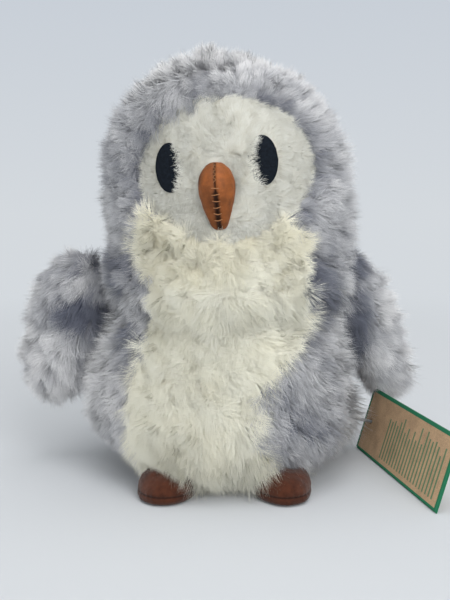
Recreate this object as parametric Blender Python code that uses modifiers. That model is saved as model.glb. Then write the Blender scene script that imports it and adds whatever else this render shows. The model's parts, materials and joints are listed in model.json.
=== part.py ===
"""Plush owl: stuffed body and head of fur panels, hinged wings and feet, leather beak, swinging hang tag.

Metres, +Z up, the owl faces -Y. The origin is the middle of its flat base.
Run it in Blender's text editor, or with: blender --background --python part.py
"""
import math

import bmesh
import bpy
from mathutils import Euler, Matrix, Vector

# Gap between pieces that touch, and how far cutters run past what they cut
seam_gap = 0.0003
cutter_reach = 0.3
merge_limit = 0.0001

# Body: a pear-shaped bag, whose neck is a ball under the head
body_width = 0.143
body_depth = 0.125
neck_height = 0.088
base_flat = 0.0005
body_pile = 0.007
base_panel_width = 0.076
base_panel_depth = 0.066
belly_width = 0.092
belly_height = 0.128
belly_middle_height = 0.060

# Head: a hood of long pile round a face of short pile, turned and tipped a little on the neck
head_width = 0.122
head_depth = 0.125
head_shift = 0.0045
head_top_height = 0.2065
head_turn = math.radians(-4.0)
head_tip = math.radians(-4.4)
hood_pile = 0.007
face_recess = 0.003
face_width = 0.078
face_height = 0.063
face_shift = 0.0034
chin_width = 0.090
chin_height = 0.060
chin_slope = math.radians(18.0)
chin_tilt = math.radians(9.0)

# Eyes: flat felt patches, glued on the face
eye_width = 0.0130
eye_height = 0.0215
eye_spacing = 0.0405
eye_felt = 0.0010

# Beak: two leather halves with a whipstitched seam down the front
beak_width = 0.0168
beak_length = 0.0290
beak_depth = 0.0200
beak_leather = 0.0012
stitch_count = 6
stitch_pitch = 0.0026
stitch_thick = 0.0008
stitch_width = 0.0042

# Wings: flat stuffed lobes, sewn on at the shoulders
wing_length = 0.080
wing_width_left = 0.0493
wing_width_right = 0.0431
wing_depth = 0.0266
wing_pile = 0.005
shoulder_spacing = 0.124
shoulder_height = 0.1025
wing_spread_left = math.radians(26.0)
wing_spread_right = math.radians(20.0)
wing_turn_left = math.radians(-12.0)
wing_turn_right = math.radians(38.0)
wing_sweep_left = math.radians(2.0)
wing_sweep_right = math.radians(23.0)
wing_slope = math.radians(14.0)

# Feet: suede pouches, sewn in at the front of the base
foot_width = 0.0288
foot_length = 0.0348
foot_height = 0.0130
foot_spacing = 0.0460
foot_forward = 0.0360
foot_splay = math.radians(12.0)
foot_suede = 0.0012
foot_lift = math.radians(12.0)

# Hang tag: a folded card on a moulded fastener, standing on its long edge beside the body
tag_length = 0.093
tag_width = 0.0345
tag_card = 0.0004
tag_back_rise = 0.0008
tag_hole_inset = 0.0080
tag_hole_radius = 0.0016
tag_hole_across = 0.0788
tag_hole_back = 0.0120
tag_heading = math.radians(11.0)
tag_lean = math.radians(17.0)
fastener_radius = 0.0008
fastener_head_radius = 0.0032
fastener_head_thick = 0.0012

# Colours, linear
GREY_FUR = (0.48, 0.47, 0.50)
CREAM_FUR = (0.86, 0.82, 0.70)
STUFFING = (0.88, 0.88, 0.86)
BLACK_FELT = (0.010, 0.010, 0.012)
TAN_LEATHER = (0.30, 0.115, 0.045)
BROWN_SUEDE = (0.20, 0.080, 0.035)
TAN_THREAD = (0.36, 0.16, 0.07)
KRAFT_CARD = (0.45, 0.29, 0.17)
CLEAR_NYLON = (0.80, 0.80, 0.80)

# Ring tables, from pole to pole: (height share, half width share, half depth share, forward share)
body_ring_shares = (
    (0.00, 0.00, 0.00, 0.06),
    (0.00, 0.50, 0.52, 0.06),
    (0.05, 0.68, 0.74, 0.06),
    (0.14, 0.86, 0.90, 0.05),
    (0.28, 1.01, 1.01, 0.03),
    (0.45, 1.04, 1.04, 0.02),
    (0.63, 0.99, 1.02, 0.01),
    (0.81, 0.90, 0.98, 0.00),
    (0.98, 0.79, 0.91, 0.00),
    (1.25, 0.78, 0.89, 0.00),
    (2.10, 0.78, 0.89, 0.00),
    (2.20, 0.00, 0.00, 0.00),
)
head_ring_shares = (
    (0.00, 0.00, 0.00, 0.00),
    (0.00, 1.00, 1.00, 0.00),
    (0.10, 1.04, 1.02, 0.00),
    (0.22, 1.04, 1.02, 0.00),
    (0.38, 1.02, 1.01, 0.00),
    (0.54, 1.00, 1.00, 0.00),
    (0.68, 0.96, 0.97, 0.00),
    (0.79, 0.88, 0.88, 0.00),
    (0.89, 0.71, 0.71, 0.00),
    (0.96, 0.43, 0.43, 0.00),
    (1.00, 0.00, 0.00, 0.00),
)
wing_ring_shares = (
    (0.00, 0.00, 0.00, 0.00),
    (0.02, 0.52, 0.52, 0.00),
    (0.17, 0.90, 0.88, 0.00),
    (0.38, 1.06, 1.04, 0.00),
    (0.61, 1.00, 1.02, 0.00),
    (0.83, 0.76, 0.85, 0.00),
    (0.98, 0.40, 0.50, 0.00),
    (1.01, 0.00, 0.00, 0.00),
)
foot_ring_shares = (
    (0.00, 0.00, 0.00, 0.00),
    (0.00, 0.74, 0.76, 0.00),
    (0.22, 1.00, 1.00, 0.00),
    (0.60, 1.00, 0.98, 0.00),
    (1.00, 0.66, 0.66, 0.00),
    (1.04, 0.00, 0.00, 0.00),
)
beak_ring_shares = (
    (0.00, 0.00, 0.00, -0.16),
    (0.02, 0.40, 0.28, -0.12),
    (0.20, 0.62, 0.52, -0.02),
    (0.40, 0.86, 0.78, 0.06),
    (0.62, 1.03, 1.00, 0.02),
    (0.82, 0.94, 0.94, -0.10),
    (0.98, 0.48, 0.50, -0.26),
    (1.01, 0.00, 0.00, -0.30),
)
body_segments = 12
head_segments = 12
wing_segments = 8
foot_segments = 8
beak_segments = 12
outline_points = 24
ball_steps = 18
ball_rings = 5
neck_share = 0.79
ankle_share = 0.42
prism_start_share = 0.23
# How far up the head from the neck each of these stands
face_middle_share = 0.492
chin_middle_share = 0.076
eye_middle_share = 0.5105
beak_top_share = 0.515
body_exit_slope = math.radians(-1.0)

neck_radius = neck_share * body_width / 2
head_height = head_top_height - neck_height
face_middle_rise = face_middle_share * head_height
chin_middle_rise = chin_middle_share * head_height
eye_rise = eye_middle_share * head_height
beak_top_rise = beak_top_share * head_height
# How far in the flats of a faceted ball lie, as a share of its radius
facet_share = math.cos(math.pi / ball_steps) * math.cos(math.pi / 4 / ball_rings)
neck_centre = Vector((0, 0, neck_height))


def clear_scene():
    for found in list(bpy.data.objects):
        bpy.data.objects.remove(found)


def new_collection(name):
    made = bpy.data.collections.new(name)
    bpy.context.scene.collection.children.link(made)
    return made


def new_material(name, colour, roughness):
    made = bpy.data.materials.new(name)
    made.use_nodes = True
    shader = made.node_tree.nodes["Principled BSDF"]
    shader.inputs["Base Color"].default_value = (*colour, 1)
    shader.inputs["Roughness"].default_value = roughness
    shader.inputs["Metallic"].default_value = 0
    return made


def new_object(name, mesh, collection, parent=None):
    made = bpy.data.objects.new(name, mesh)
    collection.objects.link(made)
    made.parent = parent
    return made


def as_cutter(made):
    made.hide_render = True
    made.display_type = "WIRE"
    return made


def new_pivot(name, place, turn, parent=None):
    made = bpy.data.objects.new(name, None)
    parts.objects.link(made)
    made.parent = parent
    made.location = place
    made.rotation_euler = turn
    return made


def mesh_from(name, build):
    """A mesh that build(bm) fills."""
    bm = bmesh.new()
    build(bm)
    mesh = bpy.data.meshes.new(name)
    bm.to_mesh(mesh)
    bm.free()
    return mesh


def cut(piece, cutter, operation="DIFFERENCE"):
    step = piece.modifiers.new(cutter.name, "BOOLEAN")
    step.object = cutter
    step.operation = operation
    step.solver = "EXACT"


def soft_form(name, rings, half_width, half_depth, height, segments, inset, collection, parent):
    """A closed swelling form, standing on its parent's origin.

    Its cage is a sphere whose rings follow a table. A form with an inset is drawn in by about that
    much all round, towards its own middle.
    """
    middle = height / 2
    narrow = (half_width - inset) / half_width
    shallow = (half_depth - inset) / half_depth
    low = (middle - inset) / middle

    def build(bm):
        last = len(rings) - 1
        bmesh.ops.create_uvsphere(bm, u_segments=segments, v_segments=last, radius=1)
        for vert in bm.verts:
            latitude = math.pi - math.acos(max(-1, min(1, vert.co.z)))
            rise, wide, deep, forward = rings[round(latitude / math.pi * last)]
            around = Vector((vert.co.x, vert.co.y))
            if around.length > merge_limit:
                around.normalize()
            x = around.x * wide * half_width * narrow
            y = (around.y * deep - forward) * half_depth * shallow
            vert.co = (x, y, middle + (rise * height - middle) * low)

    made = new_object(name, mesh_from(name, build), collection, parent)
    smooth = made.modifiers.new("swell", "SUBSURF")
    smooth.levels = 1
    smooth.render_levels = 1
    made.data.shade_smooth()
    return made


def upright_prism(name, half_width, half_depth, low, high, collection, parent=None):
    """An oval block that stands from low to high."""

    def build(bm):
        bmesh.ops.create_cone(
            bm,
            cap_ends=True,
            segments=outline_points,
            radius1=1,
            radius2=1,
            depth=1,
            matrix=Matrix.Translation((0, 0, 0.5)),
        )
        bmesh.ops.scale(bm, vec=(half_width, half_depth, high - low), verts=bm.verts)
        bmesh.ops.translate(bm, vec=(0, 0, low), verts=bm.verts)

    return new_object(name, mesh_from(name, build), collection, parent)


def forward_prism(name, half_width, half_height, across, rise, start, parent):
    """An oval cutter that runs forward, towards -Y, from this far ahead of its parent's XZ plane."""
    made = upright_prism(name, half_width, half_height, start, cutter_reach, cutters, parent)
    made.rotation_euler = (math.radians(90), 0, 0)
    made.location = (across, 0, rise)
    return as_cutter(made)


def block(name, low, high, collection, parent=None):
    """A box between two corners."""
    size = Vector(high) - Vector(low)
    middle = (Vector(high) + Vector(low)) / 2

    def build(bm):
        bmesh.ops.create_cube(bm, size=1)
        bmesh.ops.scale(bm, vec=size, verts=bm.verts)
        bmesh.ops.translate(bm, vec=middle, verts=bm.verts)

    return new_object(name, mesh_from(name, build), collection, parent)


def neck_envelope(name, radius, slope, tilt, parent):
    """A turned cutter: the neck ball, and all that lies below a cone of this slope round it."""
    profile = [(0.0, radius)]
    for step in range(1, ball_rings + 1):
        angle = math.radians(90) + (slope - math.radians(90)) * step / ball_rings
        profile.append((radius * math.cos(angle), radius * math.sin(angle)))
    profile.append((cutter_reach, cutter_reach * math.tan(slope)))
    profile.append((cutter_reach, -cutter_reach))
    profile.append((0.0, -cutter_reach))

    def build(bm):
        verts = [bm.verts.new((x, 0, z)) for x, z in profile]
        for first, second in zip(verts, verts[1:]):
            bm.edges.new((first, second))

    made = new_object(name, mesh_from(name, build), cutters, parent)
    made.rotation_euler = (tilt, 0, 0)
    turn = made.modifiers.new("turn", "SCREW")
    turn.axis = "Z"
    turn.angle = math.radians(360)
    turn.steps = ball_steps
    turn.render_steps = ball_steps
    turn.screw_offset = 0
    turn.use_merge_vertices = True
    turn.merge_threshold = merge_limit
    turn.use_smooth_shade = True
    return as_cutter(made)


def body_form(name, inset, collection):
    return soft_form(
        name,
        body_ring_shares,
        body_width / 2,
        body_depth / 2,
        neck_height,
        body_segments,
        inset,
        collection,
        base_pivot,
    )


def head_form(name, inset, collection):
    return soft_form(
        name,
        head_ring_shares,
        head_width / 2,
        head_depth / 2,
        head_height,
        head_segments,
        inset,
        collection,
        head_seat,
    )


def swept_copy(name, source, hinge, turn):
    """The body's cutter again, turned about a hinge, so that a piece clears the body at that angle too."""
    made = new_object(name, source.data, cutters)
    for step in source.modifiers:
        again = made.modifiers.new(step.name, step.type)
        for key in ("levels", "render_levels", "object", "operation", "solver"):
            if hasattr(step, key):
                setattr(again, key, getattr(step, key))
    place = Matrix.Translation(hinge)
    made.matrix_world = place @ turn @ place.inverted() @ source.matrix_world
    return as_cutter(made)


def finish(piece, material):
    piece.data.materials.append(material)
    return piece


def build_body():
    """Back, belly and base panels of fur, round one filling."""
    neck = neck_envelope("neck_cutter", neck_radius, body_exit_slope, 0, neck_pivot)
    inside_radius = neck_radius - body_pile
    neck_inside = neck_envelope("neck_inside_cutter", inside_radius, body_exit_slope, 0, neck_pivot)
    core_radius = inside_radius - seam_gap - seam_gap
    neck_core = neck_envelope("neck_core_cutter", core_radius, body_exit_slope, 0, neck_pivot)
    shell_inside = as_cutter(body_form("body_inside_cutter", body_pile, cutters))
    cut(shell_inside, neck_inside, "INTERSECT")
    reach = cutter_reach
    below_floor = as_cutter(block("floor_cutter", (-reach, -reach, -reach), (reach, reach, 0), cutters))
    middle = neck_height / 2
    base_fit = as_cutter(
        upright_prism("base_cutter", base_panel_width / 2, base_panel_depth / 2, -reach, middle, cutters)
    )
    base_room = as_cutter(
        upright_prism(
            "base_room_cutter",
            base_panel_width / 2 + seam_gap,
            base_panel_depth / 2 + seam_gap,
            -reach,
            middle,
            cutters,
        )
    )
    belly_start = prism_start_share * base_panel_depth
    belly_fit = forward_prism(
        "belly_cutter", belly_width / 2, belly_height / 2, 0, belly_middle_height, belly_start, None
    )
    belly_room = forward_prism(
        "belly_room_cutter",
        belly_width / 2 + seam_gap,
        belly_height / 2 + seam_gap,
        0,
        belly_middle_height,
        belly_start,
        None,
    )
    plan = (
        ("body_back_panel", grey_fur, ((base_room, "DIFFERENCE"), (belly_room, "DIFFERENCE"))),
        ("belly_panel", cream_fur, ((belly_fit, "INTERSECT"), (base_room, "DIFFERENCE"))),
        ("base_panel", grey_fur_base, ((base_fit, "INTERSECT"),)),
    )
    for name, material, steps in plan:
        panel = finish(body_form(name, 0, parts), material)
        cut(panel, shell_inside)
        cut(panel, neck, "INTERSECT")
        cut(panel, below_floor)
        for cutter, operation in steps:
            cut(panel, cutter, operation)
    filling = finish(body_form("body_filling", body_pile + seam_gap, parts), body_stuffing)
    cut(filling, neck_core, "INTERSECT")


def build_body_room():
    """The space that the body takes, with the gap that its neighbours keep."""
    room = as_cutter(body_form("body_room_cutter", -seam_gap, cutters))
    return room


def build_head():
    """Hood, face and chin panels round one filling, hollow below for the neck ball."""
    hollow_radius = (neck_radius + seam_gap) / facet_share
    under = neck_envelope("chin_cutter", hollow_radius, chin_slope, chin_tilt, head_pivot)
    inside = as_cutter(head_form("head_inside_cutter", hood_pile, cutters))
    face_start = prism_start_share * head_depth
    face_across = head_shift + face_shift
    face_fit = forward_prism(
        "face_cutter", face_width / 2, face_height / 2, face_across, face_middle_rise, face_start, head_pivot
    )
    face_room = forward_prism(
        "face_room_cutter",
        face_width / 2 + seam_gap,
        face_height / 2 + seam_gap,
        face_across,
        face_middle_rise,
        face_start,
        head_pivot,
    )
    chin_fit = forward_prism(
        "chin_panel_cutter",
        chin_width / 2,
        chin_height / 2,
        head_shift,
        chin_middle_rise,
        face_start,
        head_pivot,
    )
    chin_room = forward_prism(
        "chin_room_cutter",
        chin_width / 2 + seam_gap,
        chin_height / 2 + seam_gap,
        head_shift,
        chin_middle_rise,
        face_start,
        head_pivot,
    )
    plan = (
        ("hood_panel", hood_fur, 0, ((face_room, "DIFFERENCE"), (chin_room, "DIFFERENCE"))),
        ("face_panel", face_fur, face_recess, ((face_fit, "INTERSECT"),)),
        ("chin_panel", chin_fur, 0, ((chin_fit, "INTERSECT"), (face_room, "DIFFERENCE"))),
    )
    for name, material, inset, steps in plan:
        panel = finish(head_form(name, inset, parts), material)
        cut(panel, inside)
        cut(panel, under)
        for cutter, operation in steps:
            cut(panel, cutter, operation)
    filling = finish(head_form("head_filling", hood_pile + seam_gap, parts), head_stuffing)
    cut(filling, under)


def build_eyes():
    """Two oval felt patches that follow the face."""
    under = as_cutter(head_form("eye_back_cutter", face_recess - seam_gap, cutters))
    for side, name in ((-1, "eye_left"), (1, "eye_right")):
        outline = forward_prism(
            name + "_cutter",
            eye_width / 2,
            eye_height / 2,
            head_shift + side * eye_spacing / 2,
            eye_rise,
            prism_start_share * head_depth,
            head_pivot,
        )
        eye = finish(head_form(name, face_recess - seam_gap - eye_felt, parts), eye_felts[side])
        cut(eye, under)
        cut(eye, outline, "INTERSECT")


def beak_form(name, inset, collection):
    return soft_form(
        name,
        beak_ring_shares,
        beak_width / 2,
        beak_depth / 2,
        beak_length,
        beak_segments,
        inset,
        collection,
        beak_seat,
    )


def build_beak():
    """Two leather halves, the filling between them and the whipstitches over their seam."""
    face_room = as_cutter(head_form("beak_back_cutter", face_recess - seam_gap, cutters))
    inside = as_cutter(beak_form("beak_inside_cutter", beak_leather, cutters))
    reach = cutter_reach
    for side, name in ((-1, "beak_left_half"), (1, "beak_right_half")):
        other = block(
            name + "_cutter",
            (-reach if side > 0 else -seam_gap / 2, -reach, -reach),
            (seam_gap / 2 if side > 0 else reach, reach, reach),
            cutters,
            beak_seat,
        )
        as_cutter(other)
        half = finish(beak_form(name, 0, parts), beak_leathers[side])
        cut(half, face_room)
        cut(half, inside)
        cut(half, other)
    filling = finish(beak_form("beak_filling", beak_leather + seam_gap, parts), beak_stuffing)
    cut(filling, face_room)

    under = as_cutter(beak_form("stitch_back_cutter", -seam_gap, cutters))
    row = block(
        "stitch_row_cutter",
        (-stitch_width / 2, -reach, 0),
        (stitch_width / 2, 0, stitch_thick),
        cutters,
        beak_seat,
    )
    row.location = (0, 0, stitch_pitch)
    copies = row.modifiers.new("row", "ARRAY")
    copies.count = stitch_count
    copies.use_relative_offset = False
    copies.use_constant_offset = True
    copies.constant_offset_displace = (0, 0, stitch_pitch)
    spine = block(
        "stitch_spine_cutter",
        (-stitch_thick / 2, -reach, stitch_pitch),
        (stitch_thick / 2, 0, stitch_pitch * stitch_count + stitch_thick),
        cutters,
        beak_seat,
    )
    cut(row, as_cutter(spine), "UNION")
    as_cutter(row)
    stitches = finish(beak_form("beak_stitches", -seam_gap - stitch_thick, parts), stitch_thread)
    cut(stitches, under)
    cut(stitches, row, "INTERSECT")
    cut(stitches, face_room)


def build_tag_room():
    """The space that the hang tag takes, with the gap that a wing beside it keeps."""
    thick = seam_gap + tag_card * 2
    room = block(
        "tag_room_cutter",
        (-tag_hole_inset - seam_gap, -thick, -tag_width / 2 - seam_gap),
        (tag_length - tag_hole_inset + seam_gap, thick, tag_width / 2 + seam_gap),
        cutters,
        tag_pivot,
    )
    return as_cutter(room)


def build_wing(side, label, width, material, lining, stuffing, rooms):
    """One wing: outer and inner panels round a filling, hanging from its shoulder."""
    shoulder = shoulders[side]

    def form(name, inset, collection):
        made = soft_form(
            name,
            wing_ring_shares,
            width / 2,
            wing_depth / 2,
            wing_length,
            wing_segments,
            inset,
            collection,
            shoulder,
        )
        made.rotation_euler = (math.radians(180), 0, 0)
        return made

    reach = cutter_reach
    inside = as_cutter(form(label + "_inside_cutter", wing_pile, cutters))
    half_gap = seam_gap / 2
    low_corner = (-reach, -reach, -reach)
    high_corner = (reach, reach, reach)
    behind = block(label + "_back_cutter", (-reach, -half_gap, -reach), high_corner, cutters, shoulder)
    ahead = block(label + "_front_cutter", low_corner, (reach, half_gap, reach), cutters, shoulder)
    below_hood = neck_envelope(label + "_top_cutter", neck_radius, wing_slope, 0, neck_pivot)
    for name, inset, finish_material, hollow, halver in (
        (label, 0, material, inside, as_cutter(behind)),
        (label + "_lining", 0, lining, inside, as_cutter(ahead)),
        (label + "_filling", wing_pile + seam_gap, stuffing, None, None),
    ):
        piece = finish(form(name, inset, parts), finish_material)
        cut(piece, below_hood, "INTERSECT")
        for room in rooms:
            cut(piece, room)
        if hollow:
            cut(piece, hollow)
            cut(piece, halver)


def build_foot(side, label, upper_suede, sole_suede, stuffing, room, limit_room):
    """One foot: suede upper and sole round a filling, flat on the floor."""
    ankle = ankles[side]

    def form(name, inset, collection):
        made = soft_form(
            name,
            foot_ring_shares,
            foot_width / 2,
            foot_length / 2,
            foot_height + base_flat,
            foot_segments,
            inset,
            collection,
            ankle,
        )
        made.location = (0, -ankle_share * foot_length, -base_flat)
        return made

    reach = cutter_reach
    low_corner = (-reach, -reach, -reach)
    high_corner = (reach, reach, reach)
    seam_height = foot_height / 3
    seam_top = seam_height + seam_gap / 2
    seam_bottom = seam_height - seam_gap / 2
    inside = as_cutter(form(label + "_inside_cutter", foot_suede, cutters))
    floor = as_cutter(block(label + "_floor_cutter", low_corner, (reach, reach, 0), cutters, ankle))
    low = block(label + "_low_cutter", low_corner, (reach, reach, seam_top), cutters, ankle)
    high = block(label + "_high_cutter", (-reach, -reach, seam_bottom), high_corner, cutters, ankle)
    for name, inset, finish_material, steps in (
        (label + "_upper", 0, upper_suede, (inside, as_cutter(low))),
        (label + "_sole", 0, sole_suede, (inside, as_cutter(high), floor)),
        (label + "_filling", foot_suede + seam_gap, stuffing, ()),
    ):
        piece = finish(form(name, inset, parts), finish_material)
        for cutter in steps:
            cut(piece, cutter)
        cut(piece, room)
        cut(piece, limit_room)


def build_tag(room):
    """Two card leaves with a hole, hung on a fastener that reaches the body."""
    reach = cutter_reach
    hole = as_cutter(
        upright_prism("tag_hole_cutter", tag_hole_radius, tag_hole_radius, -reach, reach, cutters, tag_pivot)
    )
    hole.rotation_euler = (math.radians(90), 0, 0)
    far = -tag_hole_inset
    near = tag_length - tag_hole_inset
    for name, material, depth, rise in (
        ("tag_front_leaf", tag_front_card, seam_gap / 2, 0),
        ("tag_back_leaf", tag_back_card, -seam_gap / 2 - tag_card, tag_back_rise),
    ):
        low = -tag_width / 2
        high = tag_width / 2
        leaf = block(name, (far, depth, low + rise), (near, depth + tag_card, high), parts, tag_pivot)
        finish(leaf, material)
        cut(leaf, hole)
    head_start = tag_card + seam_gap * 2
    head = upright_prism(
        "tag_fastener_head",
        fastener_head_radius,
        fastener_head_radius,
        head_start,
        head_start + fastener_head_thick,
        cutters,
        tag_pivot,
    )
    head.rotation_euler = (math.radians(-90), 0, 0)
    as_cutter(head)
    stem = upright_prism(
        "tag_fastener",
        fastener_radius,
        fastener_radius,
        -(tag_hole_across + tag_hole_inset),
        head_start + fastener_head_thick / 2,
        parts,
        tag_pivot,
    )
    stem.rotation_euler = (math.radians(-90), 0, 0)
    finish(stem, fastener_nylon)
    cut(stem, head, "UNION")
    cut(stem, room)


clear_scene()
parts = new_collection("plush_owl")
cutters = new_collection("cutters")

grey_fur = new_material("grey_fur", GREY_FUR, 0.9)
grey_fur_base = new_material("grey_fur_base", GREY_FUR, 0.9)
cream_fur = new_material("cream_fur", CREAM_FUR, 0.9)
hood_fur = new_material("hood_fur", GREY_FUR, 0.9)
face_fur = new_material("face_fur", CREAM_FUR, 0.9)
chin_fur = new_material("chin_fur", CREAM_FUR, 0.9)
body_stuffing = new_material("body_stuffing", STUFFING, 1.0)
head_stuffing = new_material("head_stuffing", STUFFING, 1.0)
beak_stuffing = new_material("beak_stuffing", STUFFING, 1.0)
eye_felts = {
    -1: new_material("eye_felt_left", BLACK_FELT, 0.95),
    1: new_material("eye_felt_right", BLACK_FELT, 0.95),
}
beak_leathers = {
    -1: new_material("beak_leather_left", TAN_LEATHER, 0.55),
    1: new_material("beak_leather_right", TAN_LEATHER, 0.55),
}
stitch_thread = new_material("stitch_thread", TAN_THREAD, 0.7)
tag_front_card = new_material("tag_front_card", KRAFT_CARD, 0.85)
tag_back_card = new_material("tag_back_card", KRAFT_CARD, 0.85)
fastener_nylon = new_material("fastener_nylon", CLEAR_NYLON, 0.3)

base_pivot = new_pivot("base", (0, 0, -base_flat), (0, 0, 0))
neck_pivot = new_pivot("neck", neck_centre, (0, 0, 0))
head_pivot = new_pivot("head", neck_centre, Euler((0, head_tip, head_turn)))
head_seat = new_pivot("head_seat", (head_shift, 0, 0), (0, 0, 0), head_pivot)
beak_seat = new_pivot(
    "beak_seat",
    (head_shift, -head_depth / 2 + face_recess, beak_top_rise - beak_length),
    (0, 0, 0),
    head_pivot,
)
wing_widths = {-1: wing_width_left, 1: wing_width_right}
shoulders = {
    -1: new_pivot(
        "shoulder_left",
        (-shoulder_spacing / 2, 0, shoulder_height),
        Euler((wing_sweep_left, wing_spread_left, wing_turn_left), "ZYX").to_matrix().to_euler(),
    ),
    1: new_pivot(
        "shoulder_right",
        (shoulder_spacing / 2, 0, shoulder_height),
        Euler((wing_sweep_right, -wing_spread_right, wing_turn_right), "ZYX").to_matrix().to_euler(),
    ),
}
ankles = {
    side: new_pivot(name, (side * foot_spacing / 2, -foot_forward, 0), Euler((0, 0, side * foot_splay)))
    for side, name in ((-1, "ankle_left"), (1, "ankle_right"))
}
tag_turn = Matrix.Rotation(tag_heading, 3, "Z") @ Matrix.Rotation(tag_lean, 3, "Y")
tag_pivot = new_pivot(
    "tag_hang",
    (tag_hole_across, tag_hole_back, tag_width / 2 * math.cos(tag_lean)),
    (tag_turn @ Matrix.Rotation(math.radians(-90), 3, "Z")).to_euler(),
)

build_body()
bpy.context.view_layer.update()
body_room = build_body_room()
bpy.context.view_layer.update()
build_head()
build_eyes()
build_beak()
tag_room = build_tag_room()
for side, label in ((-1, "wing_left"), (1, "wing_right")):
    build_wing(
        side,
        label,
        wing_widths[side],
        new_material(label + "_fur", GREY_FUR, 0.9),
        new_material(label + "_lining_fur", GREY_FUR, 0.9),
        new_material(label + "_stuffing", STUFFING, 1.0),
        (body_room,) if side < 0 else (body_room, tag_room),
    )
for side, label in ((-1, "foot_left"), (1, "foot_right")):
    lifted = swept_copy(
        label + "_lifted_cutter",
        body_room,
        ankles[side].location,
        Matrix.Rotation(foot_lift, 4, "X"),
    )
    build_foot(
        side,
        label,
        new_material(label + "_upper_suede", BROWN_SUEDE, 0.85),
        new_material(label + "_sole_suede", BROWN_SUEDE, 0.85),
        new_material(label + "_stuffing", STUFFING, 1.0),
        body_room,
        lifted,
    )
build_tag(body_room)
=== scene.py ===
"""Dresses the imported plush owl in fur, felt, leather, suede, card and thread, on a pale floor.

It is laid out as an add-on and run as a script. Everything is in metres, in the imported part's frame:
the owl faces -Y, +Z is up, and the middle of its flat base is the origin.
"""
import json
import math

import bmesh
import bpy
import numpy as np
from bpy.props import FloatProperty, FloatVectorProperty, IntProperty, PointerProperty
from mathutils import Euler, Matrix, Vector, noise
from mathutils.bvhtree import BVHTree


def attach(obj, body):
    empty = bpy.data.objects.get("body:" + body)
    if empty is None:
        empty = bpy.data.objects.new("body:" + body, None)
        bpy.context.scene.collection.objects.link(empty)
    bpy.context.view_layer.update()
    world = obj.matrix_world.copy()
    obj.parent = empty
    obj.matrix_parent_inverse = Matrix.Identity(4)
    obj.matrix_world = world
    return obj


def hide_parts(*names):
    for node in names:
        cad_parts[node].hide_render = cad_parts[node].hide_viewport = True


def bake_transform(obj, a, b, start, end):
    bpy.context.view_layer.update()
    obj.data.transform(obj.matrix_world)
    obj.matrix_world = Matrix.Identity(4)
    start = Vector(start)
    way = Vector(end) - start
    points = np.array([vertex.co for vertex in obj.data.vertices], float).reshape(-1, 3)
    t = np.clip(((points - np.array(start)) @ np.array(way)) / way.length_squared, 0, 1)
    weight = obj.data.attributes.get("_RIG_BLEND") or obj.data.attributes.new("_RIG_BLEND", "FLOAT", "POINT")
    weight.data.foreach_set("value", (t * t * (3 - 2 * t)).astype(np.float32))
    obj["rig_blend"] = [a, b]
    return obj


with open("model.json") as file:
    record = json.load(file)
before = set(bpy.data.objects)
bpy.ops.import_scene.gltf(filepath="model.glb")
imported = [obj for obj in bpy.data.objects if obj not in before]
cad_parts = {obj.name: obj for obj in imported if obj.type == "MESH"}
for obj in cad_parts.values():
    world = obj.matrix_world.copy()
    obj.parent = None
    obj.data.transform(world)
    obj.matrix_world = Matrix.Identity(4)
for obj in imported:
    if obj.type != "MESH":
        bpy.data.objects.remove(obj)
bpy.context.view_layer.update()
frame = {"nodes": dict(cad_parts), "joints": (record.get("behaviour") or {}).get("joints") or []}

bl_info = {
    "name": "Plush owl",
    "version": (1, 0, 0),
    "blender": (4, 5, 0),
    "location": "3D View > Sidebar > Owl",
    "description": "Builds the fur, face, feet, hang tag and studio of a stuffed owl",
    "category": "Object",
}

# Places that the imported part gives
JOINTS = {joint["name"]: Vector(joint["pos_m"]) for joint in frame["joints"]}
NECK = JOINTS["head_nod"]
SHOULDERS = {-1: JOINTS["wing_left_lift"], 1: JOINTS["wing_right_lift"]}
ANKLES = {-1: JOINTS["foot_left_lift"], 1: JOINTS["foot_right_lift"]}
TAG_HOLE = JOINTS["tag_swing"]

# The stuffed forms: half width, half depth, height, segments of the cage
BODY_SIZE = (0.0715, 0.0625, 0.088, 12)
HEAD_SIZE = (0.061, 0.0625, 0.1185, 12)
WING_SIZES = {-1: (0.02465, 0.0133, 0.080, 8), 1: (0.02155, 0.0133, 0.080, 8)}
FOOT_SIZE = (0.0144, 0.0174, 0.0135, 8)
BEAK_SIZE = (0.0084, 0.0100, 0.0290, 12)

# The head's face, eyes and beak, in the head's own frame
HEAD_TURN = Euler((0, math.radians(-4.4), math.radians(-4.0)))
HEAD_PLACE = Matrix.Translation(NECK) @ HEAD_TURN.to_matrix().to_4x4()
HEAD_SHIFT = 0.0045
FACE_CENTRE = (0.0079, -0.055, 0.0583)
FACE_MIDDLE = np.array(HEAD_PLACE @ Vector(FACE_CENTRE))
FACE_HALF = (0.039, 0.0315)
FACE_RECESS = 0.003
FACE_FRONT = -0.02
EYE_HALF = (0.0065, 0.01075)
EYE_SPACING = 0.0405
EYE_RISE = 0.0605
EYE_LOW = 0.0018
EYE_HIGH = 0.0026
EYE_TILT = 0.0010
PAD_DEPTH = 0.0005
BEAK_BASE = 0.0320

# The beak's seam, from the beak's base
STITCH_START = 0.0045
STITCH_WIDTH = 0.0032
STITCH_RISE = 0.0008
STITCH_SINK = 0.0002
ZIGZAG_TOP = 0.0270
ZIGZAG_SIZE = (0.48, 0.70, 0.60)
ZIGZAG_PITCH_SHARE = 0.42
SEAM_GAP = 0.00006

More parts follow.
